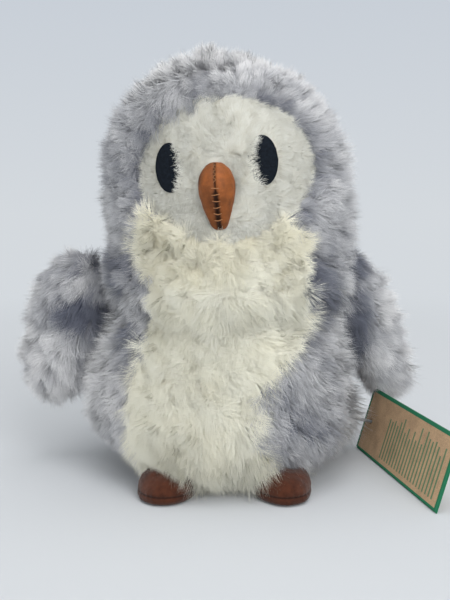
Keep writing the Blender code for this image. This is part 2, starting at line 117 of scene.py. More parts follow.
# Feet and hang tag
FOOT_FORWARD_SHARE = 0.42
FOOT_SPLAY = math.radians(12)
FOOT_SEAM = 0.0042
TAG_SIZE = (0.093, 0.0345)
TAG_HOLE_INSET = 0.0080
TAG_BORDER = 0.0018
TAG_RULE_PITCH = 0.0030
TAG_RULE_START = 0.020
TAG_RULE_SHARE = 0.42
TAG_RULE_INK = 0.78
TAG_TURN = Matrix.Rotation(math.radians(11), 3, "Z") @ Matrix.Rotation(math.radians(17), 3, "Y")

# Ring tables of the forms, from pole to pole: height, half width, half depth and forward share
BODY_RINGS = (
    (0.00, 0.00, 0.00, 0.06),
    (0.00, 0.50, 0.52, 0.06),
    (0.05, 0.68, 0.74, 0.06),
    (0.14, 0.86, 0.90, 0.05),
    (0.28, 1.01, 1.01, 0.03),
    (0.45, 1.04, 1.04, 0.02),
    (0.63, 0.99, 1.02, 0.01),
    (0.81, 0.90, 0.98, 0.00),
    (0.98, 0.79, 0.91, 0.00),
    (1.20, 0.70, 0.80, 0.00),
    (1.40, 0.50, 0.56, 0.00),
    (1.45, 0.00, 0.00, 0.00),
)
HEAD_RINGS = (
    (0.02, 0.00, 0.00, 0.00),
    (0.02, 0.80, 0.80, 0.00),
    (0.10, 1.04, 1.02, 0.00),
    (0.22, 1.04, 1.02, 0.00),
    (0.38, 1.02, 1.01, 0.00),
    (0.54, 1.00, 1.00, 0.00),
    (0.68, 0.96, 0.97, 0.00),
    (0.79, 0.88, 0.88, 0.00),
    (0.89, 0.71, 0.71, 0.00),
    (0.96, 0.43, 0.43, 0.00),
    (1.00, 0.00, 0.00, 0.00),
)
WING_RINGS = (
    (0.00, 0.00, 0.00, 0.00),
    (0.02, 0.52, 0.52, 0.00),
    (0.17, 0.90, 0.88, 0.00),
    (0.38, 1.06, 1.04, 0.00),
    (0.61, 1.00, 1.02, 0.00),
    (0.83, 0.76, 0.85, 0.00),
    (0.98, 0.40, 0.50, 0.00),
    (1.01, 0.00, 0.00, 0.00),
)
FOOT_RINGS = (
    (0.00, 0.00, 0.00, 0.00),
    (0.00, 0.92, 0.94, 0.00),
    (0.14, 1.04, 1.04, 0.00),
    (0.58, 1.00, 0.97, -0.03),
    (0.95, 0.78, 0.74, -0.12),
    (0.97, 0.00, 0.00, -0.12),
)
BEAK_RINGS = (
    (0.00, 0.00, 0.00, -0.16),
    (0.02, 0.40, 0.28, -0.12),
    (0.20, 0.62, 0.52, -0.02),
    (0.40, 0.86, 0.78, 0.06),
    (0.62, 1.03, 1.00, 0.02),
    (0.82, 0.94, 0.94, -0.10),
    (0.98, 0.48, 0.50, -0.26),
    (1.01, 0.00, 0.00, -0.30),
)

# The skin that the fur grows on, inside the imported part's surface
SKIN_INSET = 0.0040
SKIN_VOXEL = 0.0024
COLLAR = (0.001, 0.000, 0.098)
COLLAR_REACH = (0.0590, 0.0590, 0.034)
COLLAR_RINGS = 24
COLLAR_SEGMENTS = 48
CROWN = (-0.014, -0.034, 0.190)
CROWN_REACH = (0.024, 0.026, 0.018)
CROWN_RISE = 0.0018
FACE_ROLL = 0.0050
FACE_EDGE = 0.0018
LUMP_SIZE = 0.024
LUMP_RISE = 0.0014
# Where the skin is pressed in or, with a depth below zero, filled out: place, reach and depth
DENTS = (
    ((0.040, -0.005, 0.190), 0.026, 0.0055),
    ((-0.046, -0.005, 0.192), 0.020, 0.0030),
    ((0.070, -0.008, 0.046), 0.026, 0.0085),
    ((0.002, -0.058, 0.084), (0.035, 0.020, 0.014), -0.0032),
)

# Where one piece of fur ends and the next begins
NECK_SPLIT = 0.094
FACE_SPLIT = 0.95
CREAM_FRONT = -0.015
BASE_HALF = (0.038, 0.033)
BASE_TOP = 0.02
# Where the cream of chin and belly ends, from the bottom up: height, left and right
CREAM_EDGES = (
    (0.006, -0.022, 0.034),
    (0.016, -0.034, 0.024),
    (0.028, -0.041, 0.011),
    (0.048, -0.042, 0.013),
    (0.060, -0.038, 0.022),
    (0.070, -0.034, 0.031),
    (0.090, -0.031, 0.035),
    (0.103, -0.034, 0.034),
    (0.113, -0.038, 0.034),
    (0.121, -0.037, 0.031),
    (0.127, -0.035, 0.028),
)

# Places where the fur differs, each with its reach
FRINGE = ((-0.0215, -0.046, 0.1735), 0.015)
UNDER_BEAK = ((0.006, -0.055, 0.122), (0.015, 0.030, 0.012))
BY_TAG = ((0.062, 0.006, 0.022), 0.018)
FOOT_TOPS = [((side * 0.021, -0.053, 0.017), 0.015) for side in (-1, 1)]
WHORL_HEIGHT = 0.065
WHORL_REACH = 0.04
CREAM_MIDDLE = (0.0, -0.03, 0.075)
# Heights over which the crown's fur is shorter and given painted light
CROWN_PILE_AND_LIGHT_HEIGHTS = (0.160, 0.195)
# Height of the painted shade in the crease at the neck's front
FOLD_SHADE_HEIGHT = 0.092
REAR = (0.0, 0.03)
# Where the grey fur is darker: painted shade low on the hood's and body's sides beside the cream, and a
# darker grey patch low at the front on the right: place, reach and depth
SHADE_AND_DARK_PATCH_SPOTS = (
    ((-0.049, -0.030, 0.107), (0.008, 0.020, 0.011), 0.40),
    ((-0.042, -0.040, 0.072), (0.005, 0.020, 0.012), 0.50),
    ((0.045, -0.032, 0.107), (0.009, 0.020, 0.012), 0.50),
    ((0.046, -0.034, 0.088), (0.007, 0.020, 0.007), 0.45),
    ((0.024, -0.055, 0.047), (0.010, 0.030, 0.009), 0.25),
    ((0.032, -0.055, 0.036), (0.012, 0.030, 0.010), 0.20),
)
# Painted shadow in each wing's folds against the body: place and reach, then how dark it is
WING_FOLD_SHADOWS = {
    -1: (
        ((-0.0740, -0.010, 0.081), (0.013, 0.020, 0.008)),
        ((-0.0600, -0.010, 0.110), (0.010, 0.020, 0.012)),
    ),
    1: (
        ((0.0655, -0.010, 0.070), (0.006, 0.020, 0.024)),
        ((0.0640, -0.010, 0.108), (0.006, 0.020, 0.010)),
    ),
}
WING_FOLD_SHADOW_DEPTH = 1.1

# The wings' turns in degrees, and how far each wing's skin is moved at its top and at its tip
WING_TURNS = {-1: (2.0, 26.0, -12.0), 1: (23.0, -20.0, 38.0)}
WING_TOP_SHIFTS = {-1: (-0.0035, 0.0, 0.0060), 1: (-0.0055, 0.0, 0.0070)}
WING_TIP_SHIFTS = {-1: (0.0020, 0.0, 0.0035), 1: (0.0045, 0.0, -0.0025)}

# Where the fur that crosses the neck follows the body below and the head above
HOOD_BLEND = ("body", "head", (0, 0, 0.088), (0, 0, 0.112))
CHIN_BLEND = ("body", "head", (0, -0.05, 0.088), (0, -0.05, 0.110))

# How each piece of fur grows: strands, strand width and tuft size as shares of the settings, then tuft pull,
# rise, lift, stray, tuft stray, tone spread, glint, segments of a strand and what is added to the seed
FUR_HABITS = {
    "hood": (2.3, 0.60, 0.8, 0.45, 0.50, 0.20, 0.60, 0.80, 0.12, 0.12, 2, 1),
    "face": (5.2, 0.62, 0.3, 0.10, 0.70, 0.40, 0.50, 0.30, 0.28, 0.14, 2, 2),
    "chin": (4.2, 0.60, 0.9, 0.35, 0.55, 0.28, 0.65, 0.75, 0.12, 0.08, 2, 3),
    "back": (1.7, 0.68, 0.9, 0.50, 0.60, 0.22, 0.60, 0.60, 0.12, 0.15, 2, 11),
    "belly": (4.2, 0.60, 0.9, 0.35, 0.55, 0.28, 0.65, 0.75, 0.12, 0.08, 2, 12),
    "base": (0.8, 1.00, 1.0, 0.60, 0.70, 0.25, 0.55, 0.50, 0.12, 0.15, 2, 13),
    "wing_left_fur": (2.2, 0.68, 1.1, 0.55, 0.60, 0.25, 0.60, 0.60, 0.12, 0.15, 2, 19),
    "wing_right_fur": (2.2, 0.68, 1.1, 0.55, 0.60, 0.25, 0.60, 0.60, 0.12, 0.15, 2, 21),
}
FUR_BACKING = 0.0012
FUR_FLOOR = 0.0003
BASE_PILE = 0.0055
PER_SQUARE_MILLIMETRE = 1e6

# The studio: floor, lamps with place, size and energy, and lens
FLOOR_RADIUS = 6.0
FLOOR_FADE = (0.15, 0.9)
SKY = (0.575, 0.62, 0.68, 1)
WORLD_LIGHT = (0.95, 0.98, 1.0, 1)
WORLD_STRENGTH = 0.62
LAMPS = {
    "key": ((0.85, -1.70, 1.20), 1.5, 26.0),
    "fill": ((-1.3, -1.9, 0.45), 1.6, 12.0),
    "top": ((0.1, -0.2, 1.9), 1.6, 13.0),
}
LAMP_AIM = (0, 0, 0.08)
SENSOR_HEIGHT = 36
FOCAL_LENGTH = 44.6
CLIP_START = 0.01

# Seed of the noise that bends the fur's lay
VECTOR_SEED = 7

# Ways that the fur is combed at some places
DOWN = np.array([0.0, 0.0, -1.0])
CROWN_LAY = np.array([-1.0, -0.35, -0.5])
FRINGE_LAY = np.array([-0.5, 0.0, 0.0])
CHIN_LAY = np.array([0.0, -0.2, -0.9])
FEET_LAY = np.array([0.0, -0.55, -0.25])
BASE_LAY = np.array([0.0, 1.0, 0.0])
SIDEWAYS = np.array([1.0, 0.0, 0.0])

# Sizes of the waves in which the fur's lay, length and tone vary
LAY_WAVES = {
    "hood": 0.016,
    "hood_fine": 0.006,
    "face": 0.009,
    "cream": 0.011,
    "back": 0.018,
    "base": 0.010,
    "wing": 0.014,
}
PILE_WAVES = {"hood": 0.020, "face": 0.010, "chin": 0.020, "back": 0.020, "belly": 0.018, "wing": 0.018}
TONE_WAVES = {"broad": 0.022, "narrow": 0.011, "face": 0.007, "cream": 0.012, "base": 0.012}
# Reach and front of the painted shade in the neck's crease
FOLD_SHADE_REACH = 0.020
FOLD_SHADE_FRONT = (0.005, 0.030)
FACE_FAN = 0.035
CREAM_FAN = 0.045
CREAM_SHADE_HEIGHTS = (0.090, 0.110)
CREAM_NECK_REACH = 0.010
CHIN_NECK_REACH = 0.012
HOOD_BEHIND = (-0.02, 0.02)
HOOD_CROWN_REACH = 0.024
HOOD_FOOT = (0.02, 0.05)
SKIN_FOOT = (0.0, 0.02)
BACK_FAN = 0.05
BACK_FRONT = (0.0, 0.05)
BACK_LOW = (0.0, 0.03)
BACK_AHEAD = (0.02, 0.04)
BACK_PAINTED_LIGHT_SIDE = (0.02, 0.06)
BELLY_HEM = (0.008, 0.022)
WING_FAN = 0.02
# How far in from each wing's side towards the body its painted shade reaches
WING_INNER_SHADE_SIDE = (0.004, 0.018)

# How strands differ, bend and taper
LENGTH_LEAST = 0.9
LENGTH_OWN = 0.16
LENGTH_TUFT = 0.12
SPRAY_RISE = 0.6
SIDE_STRAY = 0.06
LAY_SHADE = 0.12
TAPER_POWER = 2.2
GATHER_POWER = 1.6
TUFT_LIMIT = 1e7
STRIP_WELD = 0.001
BACKING_WELD = 0.000001

# Grooves, creases and painted shade of beak and feet: half width or size, then depth
BEAK_GROOVE = (0.0006, 0.0006)
BEAK_PUCKER = (0.0022, 0.00035)
BEAK_CREASES = (0.003, 0.00012)
BEAK_SHADED_BAND = 0.0013
BEAK_SHADOW = 0.0045
BEAK_SHADED_EDGE = (0.0058, 0.0084)
BEAK_SHADED_EDGE_LEAN = 0.35
BEAK_SHADED_EDGE_HEIGHT = 0.02
FOOT_GROOVE = (0.0004, 0.0004)
FOOT_PUCKER = (0.0012, 0.00025)
FOOT_LUMPS = (0.007, 0.00045)
FOOT_CREASES = (0.002, 0.00012)
FOOT_STITCHES = 34
FOOT_SOLE = (0.0006, 0.0015)
FOOT_SHADOW = (0.0, 0.007)
FELT_FUZZ = (0.0008, 0.00010)
EYE_RAY_START = -0.2
STITCH_RAY_START = -0.1


def length_property(name, description, default):
    return FloatProperty(name=name, description=description, default=default, unit="LENGTH")


def colour_property(name, description, default):
    return FloatVectorProperty(name=name, description=description, default=default, subtype="COLOR")


class OwlFurSettings(bpy.types.PropertyGroup):
    """Lengths, counts and colours of the owl's fur."""

    hood_pile: length_property("Hood pile", "Length of the head's grey fur", 0.0115)
    face_pile: length_property("Face pile", "Length of the clipped face fur", 0.0048)
    belly_pile: length_property("Belly pile", "Length of the belly's cream fur", 0.0125)
    back_pile: length_property("Back pile", "Length of the body's grey fur", 0.0120)
    wing_pile: length_property("Wing pile", "Length of the wings' grey fur", 0.0125)
    strands: FloatProperty(
        name="Strands", description="Strands of long fur to the square millimetre", default=3.0, min=0.1
    )
    strand_width: length_property("Strand width", "Width of a strand at its root", 0.00030)
    tuft_size: length_property("Tuft size", "Distance between the tufts of long fur", 0.0042)
    seed: IntProperty(name="Seed", description="Seed of the fur's strands", default=7)
    grey_tip: colour_property("Grey tips", "Colour of the grey fur's light tips", (0.83, 0.825, 0.825))
    grey_shade: colour_property("Grey shade", "Colour of the grey fur's dark tips", (0.16, 0.172, 0.215))
    grey_root: colour_property("Grey roots", "Colour of the grey fur's light roots", (0.42, 0.425, 0.445))
    grey_undercoat: colour_property(
        "Grey undercoat", "Colour of the grey fur's dark roots", (0.085, 0.092, 0.135)
    )
    face_tip: colour_property("Face tips", "Colour of the face fur's light tips", (0.85, 0.85, 0.785))
    face_shade: colour_property("Face shade", "Colour of the face fur's dark tips", (0.72, 0.71, 0.63))
    face_root: colour_property("Face roots", "Colour of the face fur's light roots", (0.84, 0.82, 0.715))
    face_undercoat: colour_property(
        "Face undercoat", "Colour of the face fur's dark roots", (0.70, 0.67, 0.57)
    )
    cream_tip: colour_property("Cream tips", "Colour of the cream fur's light tips", (0.965, 0.95, 0.82))
    cream_shade: colour_property("Cream shade", "Colour of the cream fur's dark tips", (0.90, 0.865, 0.70))
    cream_root: colour_property("Cream roots", "Colour of the cream fur's light roots", (0.94, 0.92, 0.79))
    cream_undercoat: colour_property(
        "Cream undercoat", "Colour of the cream fur's dark roots", (0.90, 0.85, 0.67)
    )


class OwlTrimSettings(bpy.types.PropertyGroup):
    """Sizes and colours of the owl's felt, leather, suede and card."""

    felt: colour_property("Felt", "Colour of the eyes", (0.006, 0.009, 0.014))
    leather: colour_property("Leather", "Colour of the beak", (0.245, 0.072, 0.016))
    suede: colour_property("Suede", "Colour of the feet", (0.062, 0.0185, 0.0085))
    card: colour_property("Card", "Colour of the hang tag", (0.55, 0.365, 0.215))
    edge: colour_property("Tag edge", "Colour of the hang tag's border", (0.012, 0.185, 0.085))
    nylon: colour_property("Nylon", "Colour of the hang tag's fastener", (0.36, 0.37, 0.39))
    stitch_pitch: length_property("Stitch pitch", "Distance between the beak's whipstitches", 0.0026)
    stitch_count: IntProperty(name="Stitches", description="Whipstitches on the beak", default=6, min=1)
    thread: length_property("Thread", "Thickness of the beak's thread", 0.00042)
    thread_colour: colour_property("Thread colour", "Colour of the beak's thread", (0.32, 0.135, 0.050))


class OwlStageSettings(bpy.types.PropertyGroup):
    """The studio: floor, light and camera."""

    floor: colour_property("Floor", "Colour of the floor", (0.590, 0.608, 0.630))
    backdrop: colour_property("Backdrop", "Colour behind the owl", (0.66, 0.695, 0.73))
    distance: length_property("Distance", "From the camera to the owl's middle", 0.38)
    elevation: FloatProperty(
        name="Elevation",
        description="How far the camera looks down",
        default=math.radians(6.5),
        unit="ROTATION",
    )
    aim_height: length_property("Aim height", "Height that the camera looks at", 0.0837)


class Wiring:
    """Adds nodes to a tree and joins them. A value may be a socket or a constant."""

    def __init__(self, tree):
        self.tree = tree

    def add(self, kind, inputs=(), **settings):
        node = self.tree.nodes.new(kind)
        for key, value in settings.items():
            setattr(node, key, value)
        for key, value in dict(inputs).items():
            self.put(node.inputs[key], value)
        return node

    def put(self, socket, value):
        if isinstance(value, bpy.types.NodeSocket):
            self.tree.links.new(value, socket)
        elif value is not None:
            socket.default_value = value

    def math(self, operation, *values, clamp=False):
        node = self.add("ShaderNodeMath", dict(enumerate(values)), operation=operation, use_clamp=clamp)
        return node.outputs[0]

    def vector(self, operation, *values):
        node = self.add("ShaderNodeVectorMath", dict(enumerate(values)), operation=operation)
        return node.outputs["Value"] if operation in ("DOT_PRODUCT", "LENGTH") else node.outputs[0]

    def times(self, first, second):
        return self.math("MULTIPLY", first, second)

    def plus_times(self, value, factor, start):
        return self.math("MULTIPLY_ADD", value, factor, start)

    def scale(self, vector, factor):
        return self.add("ShaderNodeVectorMath", {0: vector, "Scale": factor}, operation="SCALE").outputs[0]

    def total(self, *vectors):
        result = vectors[0]
        for other in vectors[1:]:
            result = self.vector("ADD", result, other)
        return result

    def unit(self, vector):
        return self.vector("NORMALIZE", vector)

    def parts(self, vector):
        return self.add("ShaderNodeSeparateXYZ", {"Vector": vector}).outputs

    def point(self, x=0.0, y=0.0, z=0.0):
        return self.add("ShaderNodeCombineXYZ", {"X": x, "Y": y, "Z": z}).outputs[0]

    def read(self, name, kind="FLOAT"):
        node = self.add("GeometryNodeInputNamedAttribute", {"Name": name}, data_type=kind)
        return node.outputs["Attribute"]

    def read_vector(self, name):
        return self.read(name, "FLOAT_VECTOR")

    def store(self, geometry, name, value, kind="FLOAT"):
        given = {"Geometry": geometry, "Name": name, "Value": value}
        return self.geometry("StoreNamedAttribute", given, data_type=kind, domain="POINT")

    def random_vector(self, seed):
        given = {0: (-1, -1, -1), 1: (1, 1, 1), "Seed": seed}
        return self.add("FunctionNodeRandomValue", given, data_type="FLOAT_VECTOR").outputs[0]

    def geometry(self, kind, inputs, **settings):
        return self.add("GeometryNode" + kind, inputs, **settings).outputs[0]

    def join(self, *parts):
        node = self.add("GeometryNodeJoinGeometry")
        for part in parts:
            self.put(node.inputs[0], part)
        return node.outputs[0]

    def where(self):
        return self.add("ShaderNodeTexCoord").outputs["Object"]

    def noise(self, where, scale, detail, roughness=0.5):
        given = {"Vector": where, "Scale": scale, "Detail": detail, "Roughness": roughness}
        return self.add("ShaderNodeTexNoise", given).outputs[0]

    def ramp(self, share, low, high):
        """A ramp between two stops, each of them a position and a colour."""
        node = self.add("ShaderNodeValToRGB", {"Fac": share})
        for element, (position, colour) in zip(node.color_ramp.elements, (low, high)):
            element.position = position
            element.color = (*colour[:3], 1)
        return node.outputs[0]

    def mix(self, share, first, second):
        return self.add("ShaderNodeMix", {"Factor": share, 6: first, 7: second}, data_type="RGBA").outputs[2]

    def relief(self, shader, height, strength, distance):
        given = {"Strength": strength, "Distance": distance, "Height": height}
        self.put(shader.inputs["Normal"], self.add("ShaderNodeBump", given).outputs[0])

    def show_to_camera(self, lit, seen, share, output):
        """Ends the tree with one shader that lights the object and one that the camera sees."""
        by_camera = self.add("ShaderNodeLightPath").outputs["Is Camera Ray"]
        share = by_camera if share is None else self.times(share, by_camera)
        mixed = self.add("ShaderNodeMixShader", {0: share, 1: lit.outputs[0], 2: seen.outputs[0]})
        self.put(self.tree.nodes[output].inputs[0], mixed.outputs[0])


def new_tree(name, inputs):
    """A tree with a geometry in and out and the named inputs. Gives its wiring and what it is given."""
    tree = bpy.data.node_groups.new(name, "GeometryNodeTree")
    sockets = tree.interface
    sockets.new_socket(name="Geometry", in_out="INPUT", socket_type="NodeSocketGeometry")
    for key, kind, default in inputs:
        socket = sockets.new_socket(name=key, in_out="INPUT", socket_type=kind)
        if default is not None:
            socket.default_value = default
    sockets.new_socket(name="Geometry", in_out="OUTPUT", socket_type="NodeSocketGeometry")
    return Wiring(tree), tree.nodes.new("NodeGroupInput").outputs


def end_tree(w, geometry, finish):
    """Ends a tree in one plain geometry with its finish."""
    plain = w.geometry("RealizeInstances", {"Geometry": geometry})
    done = w.geometry("SetMaterial", {"Geometry": plain, "Material": finish})
    w.put(w.tree.nodes.new("NodeGroupOutput").inputs[0], done)
    return w.tree


def fur_tree():
    """A tree that grows fur on a skin, which says by its attributes how long and which way the fur lies.

    Strands are tapered ribbons that bend from the way they rise to the way they lie, and gather in tufts.
    """
    w, given = new_tree(
        "fur",
        (
            ("Strands per area", "NodeSocketFloat", 1.0),
            ("Tuft size", "NodeSocketFloat", 0.005),
            ("Strand width", "NodeSocketFloat", 0.0003),
            ("Tuft pull", "NodeSocketFloat", 0.6),
            ("Rise", "NodeSocketFloat", 1.0),
            ("Lift", "NodeSocketFloat", 0.4),
            ("Stray", "NodeSocketFloat", 0.3),
            ("Tuft stray", "NodeSocketFloat", 0.3),
            ("Tone spread", "NodeSocketFloat", 0.08),
            ("Glint", "NodeSocketFloat", 0.15),
            ("Backing", "NodeSocketFloat", 0.001),
            ("Segments", "NodeSocketInt", 3),
            ("Seed", "NodeSocketInt", 0),
            ("Finish", "NodeSocketMaterial", None),
        ),
    )
    strands = fur_strands(w, given, fur_roots(w, given))
    return end_tree(w, w.join(strands, fur_backing(w, given)), given["Finish"])


def fur_roots(w, given):
    """The points that strands grow from, each with its own directions, length and tone."""
    skin = given["Geometry"]
    seed = given["Seed"]
    spread = w.add(
        "GeometryNodeDistributePointsOnFaces",
        {"Mesh": skin, "Density": w.times(w.read("cover"), given["Strands per area"]), "Seed": seed},
        distribute_method="RANDOM",
    )
    tuft_seed = w.math("ADD", seed, 1)
    tufts = w.geometry(
        "DistributePointsOnFaces",
        {"Mesh": skin, "Distance Min": given["Tuft size"], "Density Max": TUFT_LIMIT, "Seed": tuft_seed},
        distribute_method="POISSON",
    )
    nearest = w.geometry("SampleNearest", {"Geometry": tufts}, domain="POINT")

    def of_tuft(value):
        given_to_node = {"Geometry": tufts, "Index": nearest, "Value": value}
        return w.geometry("SampleIndex", given_to_node, data_type="FLOAT_VECTOR")

    place = w.add("GeometryNodeInputPosition").outputs[0]
    up = spread.outputs["Normal"]
    own = w.random_vector(w.math("ADD", seed, 2))
    shared = of_tuft(w.random_vector(w.math("ADD", seed, 3)))
    comb = w.read_vector("lay")
    lay = w.scale(w.total(comb, of_tuft(comb)), 0.5)
    spray = w.total(lay, w.scale(own, given["Stray"]), w.scale(shared, given["Tuft stray"]))
    rising = w.total(w.scale(up, given["Rise"]), w.scale(spray, SPRAY_RISE))
    lying = w.total(w.scale(up, given["Lift"]), spray)
    own_parts = w.parts(own)
    shared_parts = w.parts(shared)
    growth = w.plus_times(own_parts[0], LENGTH_OWN, w.plus_times(shared_parts[1], LENGTH_TUFT, LENGTH_LEAST))
    reach = w.times(w.read("pile"), growth)
    tone = w.plus_times(own_parts[1], given["Tone spread"], w.read("tone"))
    tone = w.math("MULTIPLY_ADD", shared_parts[2], given["Tone spread"], tone, clamp=True)
    side = w.vector("CROSS_PRODUCT", w.total(w.unit(lying), w.scale(own, SIDE_STRAY)), up)
    gather = w.scale(w.vector("SUBTRACT", place, of_tuft(place)), given["Tuft pull"])
    glint = given["Glint"]
    shade = w.total(up, w.scale(own, glint), w.scale(shared, glint), w.scale(lay, LAY_SHADE))
    roots = spread.outputs["Points"]
    for name, value in (
        ("root", place),
        ("rising", w.scale(w.unit(rising), reach)),
        ("lying", w.scale(w.unit(lying), reach)),
        ("side", w.scale(w.unit(side), given["Strand width"])),
        ("gather", gather),
        ("shade", w.unit(shade)),
    ):
        roots = w.store(roots, name, value, "FLOAT_VECTOR")
    return w.store(roots, "shown_tone", tone)


def fur_strands(w, given, roots):
    """A tapered ribbon on each root, bent and gathered as the root says, and kept above the floor."""
    rows = w.math("ADD", given["Segments"], 1)
    strip = w.geometry("MeshGrid", {"Size X": 1.0, "Size Y": 1.0, "Vertices X": 2, "Vertices Y": rows})
    x, y, z = w.parts(w.add("GeometryNodeInputPosition").outputs[0])
    strip = w.store(strip, "along", w.math("ADD", y, 0.5))
    strip = w.store(strip, "across", x)
    along = w.read("along")
    taper = w.math("SUBTRACT", 1.0, w.math("POWER", along, TAPER_POWER))
    strip = w.geometry("SetPosition", {"Geometry": strip, "Position": w.point(w.times(x, taper), y)})
    strip = w.geometry("MergeByDistance", {"Geometry": strip, "Distance": STRIP_WELD})

    strands = w.geometry("InstanceOnPoints", {"Points": roots, "Instance": strip})
    strands = w.geometry("RealizeInstances", {"Geometry": strands})
    bend = w.times(w.times(along, along), 0.5)
    x, y, z = w.parts(
        w.total(
            w.read_vector("root"),
            w.scale(w.read_vector("rising"), w.math("SUBTRACT", along, bend)),
            w.scale(w.read_vector("lying"), bend),
            w.scale(w.read_vector("side"), w.times(w.read("across"), taper)),
            w.scale(w.read_vector("gather"), w.times(w.math("POWER", along, GATHER_POWER), -1)),
        )
    )
    pressed = w.point(x, y, w.math("MAXIMUM", z, FUR_FLOOR))
    return w.geometry("SetPosition", {"Geometry": strands, "Position": pressed})


def fur_backing(w, given):
    """The closed cloth that the strands stand on."""
    outer = w.store(given["Geometry"], "shade", w.add("GeometryNodeInputNormal").outputs[0], "FLOAT_VECTOR")
    outer = w.store(outer, "shown_tone", w.read("tone"))
    inward = {"Mesh": outer, "Offset Scale": w.times(given["Backing"], -1), "Individual": False}
    inner = w.geometry("ExtrudeMesh", inward, mode="FACES")
    inner = w.geometry("FlipFaces", {"Mesh": inner})
    return w.geometry("MergeByDistance", {"Geometry": w.join(inner, outer), "Distance": BACKING_WELD})


def new_object(name, data):
    made = bpy.data.objects.new(name, data)
    bpy.context.scene.collection.objects.link(made)
    return made


def mesh_of(bm, name):
    """The mesh of a bmesh, which is freed."""
    mesh = bpy.data.meshes.new(name)
    bm.to_mesh(mesh)
    bm.free()
    return mesh


def evaluated_mesh(made, name):
    """The object's mesh with its modifiers applied. The object itself is removed."""
    graph = bpy.context.evaluated_depsgraph_get()
    shown = made.evaluated_get(graph)
    mesh = bpy.data.meshes.new_from_object(shown, preserve_all_data_layers=True, depsgraph=graph)
    mesh.name = name
    bpy.data.objects.remove(made)
    return mesh


def run_tree(tree, mesh, settings, name):
    """What the tree makes of a mesh with these settings, as a plain mesh."""
    made = new_object(name, mesh)
    sockets = {item.name: item.identifier for item in tree.interface.items_tree if item.in_out == "INPUT"}
    step = made.modifiers.new(tree.name, "NODES")
    step.node_group = tree
    for key, value in settings.items():
        step[sockets[key]] = value
    return evaluated_mesh(made, name)


def search_of(mesh):
    """A search tree of the mesh's faces."""
    bm = bmesh.new()
    bm.from_mesh(mesh)
    found = BVHTree.FromBMesh(bm)
    bm.free()
    return found


def points_of(mesh):
    """The mesh's points and their normals, as arrays."""
    count = len(mesh.vertices)
    co = np.empty(count * 3, np.float32)
    mesh.vertices.foreach_get("co", co)
    normals = np.empty(count * 3, np.float32)
    mesh.vertex_normals.foreach_get("vector", normals)
    return co.reshape(-1, 3).astype(float), normals.reshape(-1, 3).astype(float)


def move_points(mesh, co):
    mesh.vertices.foreach_set("co", co.astype(np.float32).ravel())
    mesh.update()


def give(mesh, name, values):
    """Puts a value on each of the mesh's points."""
    many = values.ndim == 2
    made = mesh.attributes.new(name, "FLOAT_VECTOR" if many else "FLOAT", "POINT")
    made.data.foreach_set("vector" if many else "value", np.ascontiguousarray(values, np.float32).ravel())


def taken(mesh, name, width=1):
    """The values that an attribute has on the mesh's points."""
    values = np.zeros(len(mesh.vertices) * width, np.float32)
    mesh.attributes[name].data.foreach_get("vector" if width > 1 else "value", values)
    return values.reshape(-1, width) if width > 1 else values


def noise_at(co, size, seed, kind):
    shift = Vector((seed * 3.1, seed * 1.7, seed * 2.3))
    return np.array([kind(Vector(point) / size + shift) for point in co])


def waves(co, size, seed):
    """Smooth noise at each point, from -1 to 1, whose bumps are about this large."""
    return noise_at(co, size, seed, noise.noise) * 1.6


def wave_vectors(co, size, seed):
    """A smooth random vector at each point, which turns round over about this size."""
    # Without a seed of its own this noise would start from the clock and differ from run to run
    noise.seed_set(VECTOR_SEED)
    return noise_at(co, size, seed, noise.noise_vector)


def unit(vectors):
    return vectors / np.maximum(np.linalg.norm(vectors, axis=1, keepdims=True), 1e-9)


def weighed(vectors, weights):
    """Each vector times its own weight."""
    return vectors * weights[:, None]


def along_skin(vectors, normals):
    """The part of each vector, or of one vector at each point, that lies in the skin."""
    return vectors - normals * np.sum(vectors * normals, axis=1, keepdims=True)


def combed(lay):
    """The comb vectors with their lengths kept between weak and strong, so that each strand lies some way."""
    strength = np.linalg.norm(lay, axis=1, keepdims=True)
    return lay / np.maximum(strength, 1e-9) * np.clip(strength, 0.75, 1.3)


def smooth_step(values, low, high):
    share = np.clip((values - low) / (high - low), 0, 1)
    return share * share * (3 - 2 * share)


def bell(values, middle, reach):
    """How near each value is to the middle: 1 there, falling to nothing in about twice the reach."""
    return np.exp(-(((values - middle) / reach) ** 2))


def spot(co, place, reach):
    """How near each point is to a place: 1 there, falling to nothing in about twice the reach."""
    return np.exp(-np.sum(((co - np.array(place)) / np.array(reach)) ** 2, axis=1))


def head_local(co):
    """Points in the head's own frame, whose middle is the neck."""
    back = np.array(HEAD_PLACE.inverted())
    return co @ back[:3, :3].T + back[:3, 3]


def face_range(local):
    """How far out of the face each point lies: 1 at the face's edge, and much more behind the face."""
    x = (local[:, 0] - FACE_CENTRE[0]) / FACE_HALF[0]
    z = (local[:, 2] - FACE_CENTRE[2]) / FACE_HALF[1]
    return np.where(local[:, 1] < FACE_FRONT, np.hypot(x, z), 9.0)


def ringed(name, segments, last, place_of):
    """A closed form of rings from pole to pole, whose points are place_of(ring, across, along)."""
    points = [place_of(0, 0, 0)]
    faces = []
    for ring in range(1, last):
        first = len(points)
        for step in range(segments):
            turn = 2 * math.pi * step / segments
            points.append(place_of(ring, math.cos(turn), math.sin(turn)))
            after = (step + 1) % segments
            below = (first - segments + step, first - segments + after) if ring > 1 else (0,)
            faces.append((first + step, *below, first + after))
    top = len(points)
    points.append(place_of(last, 0, 0))
    for step in range(segments):
        faces.append((top - segments + step, top - segments + (step + 1) % segments, top))
    mesh = bpy.data.meshes.new(name)
    mesh.from_pydata(points, [], faces)
    return mesh


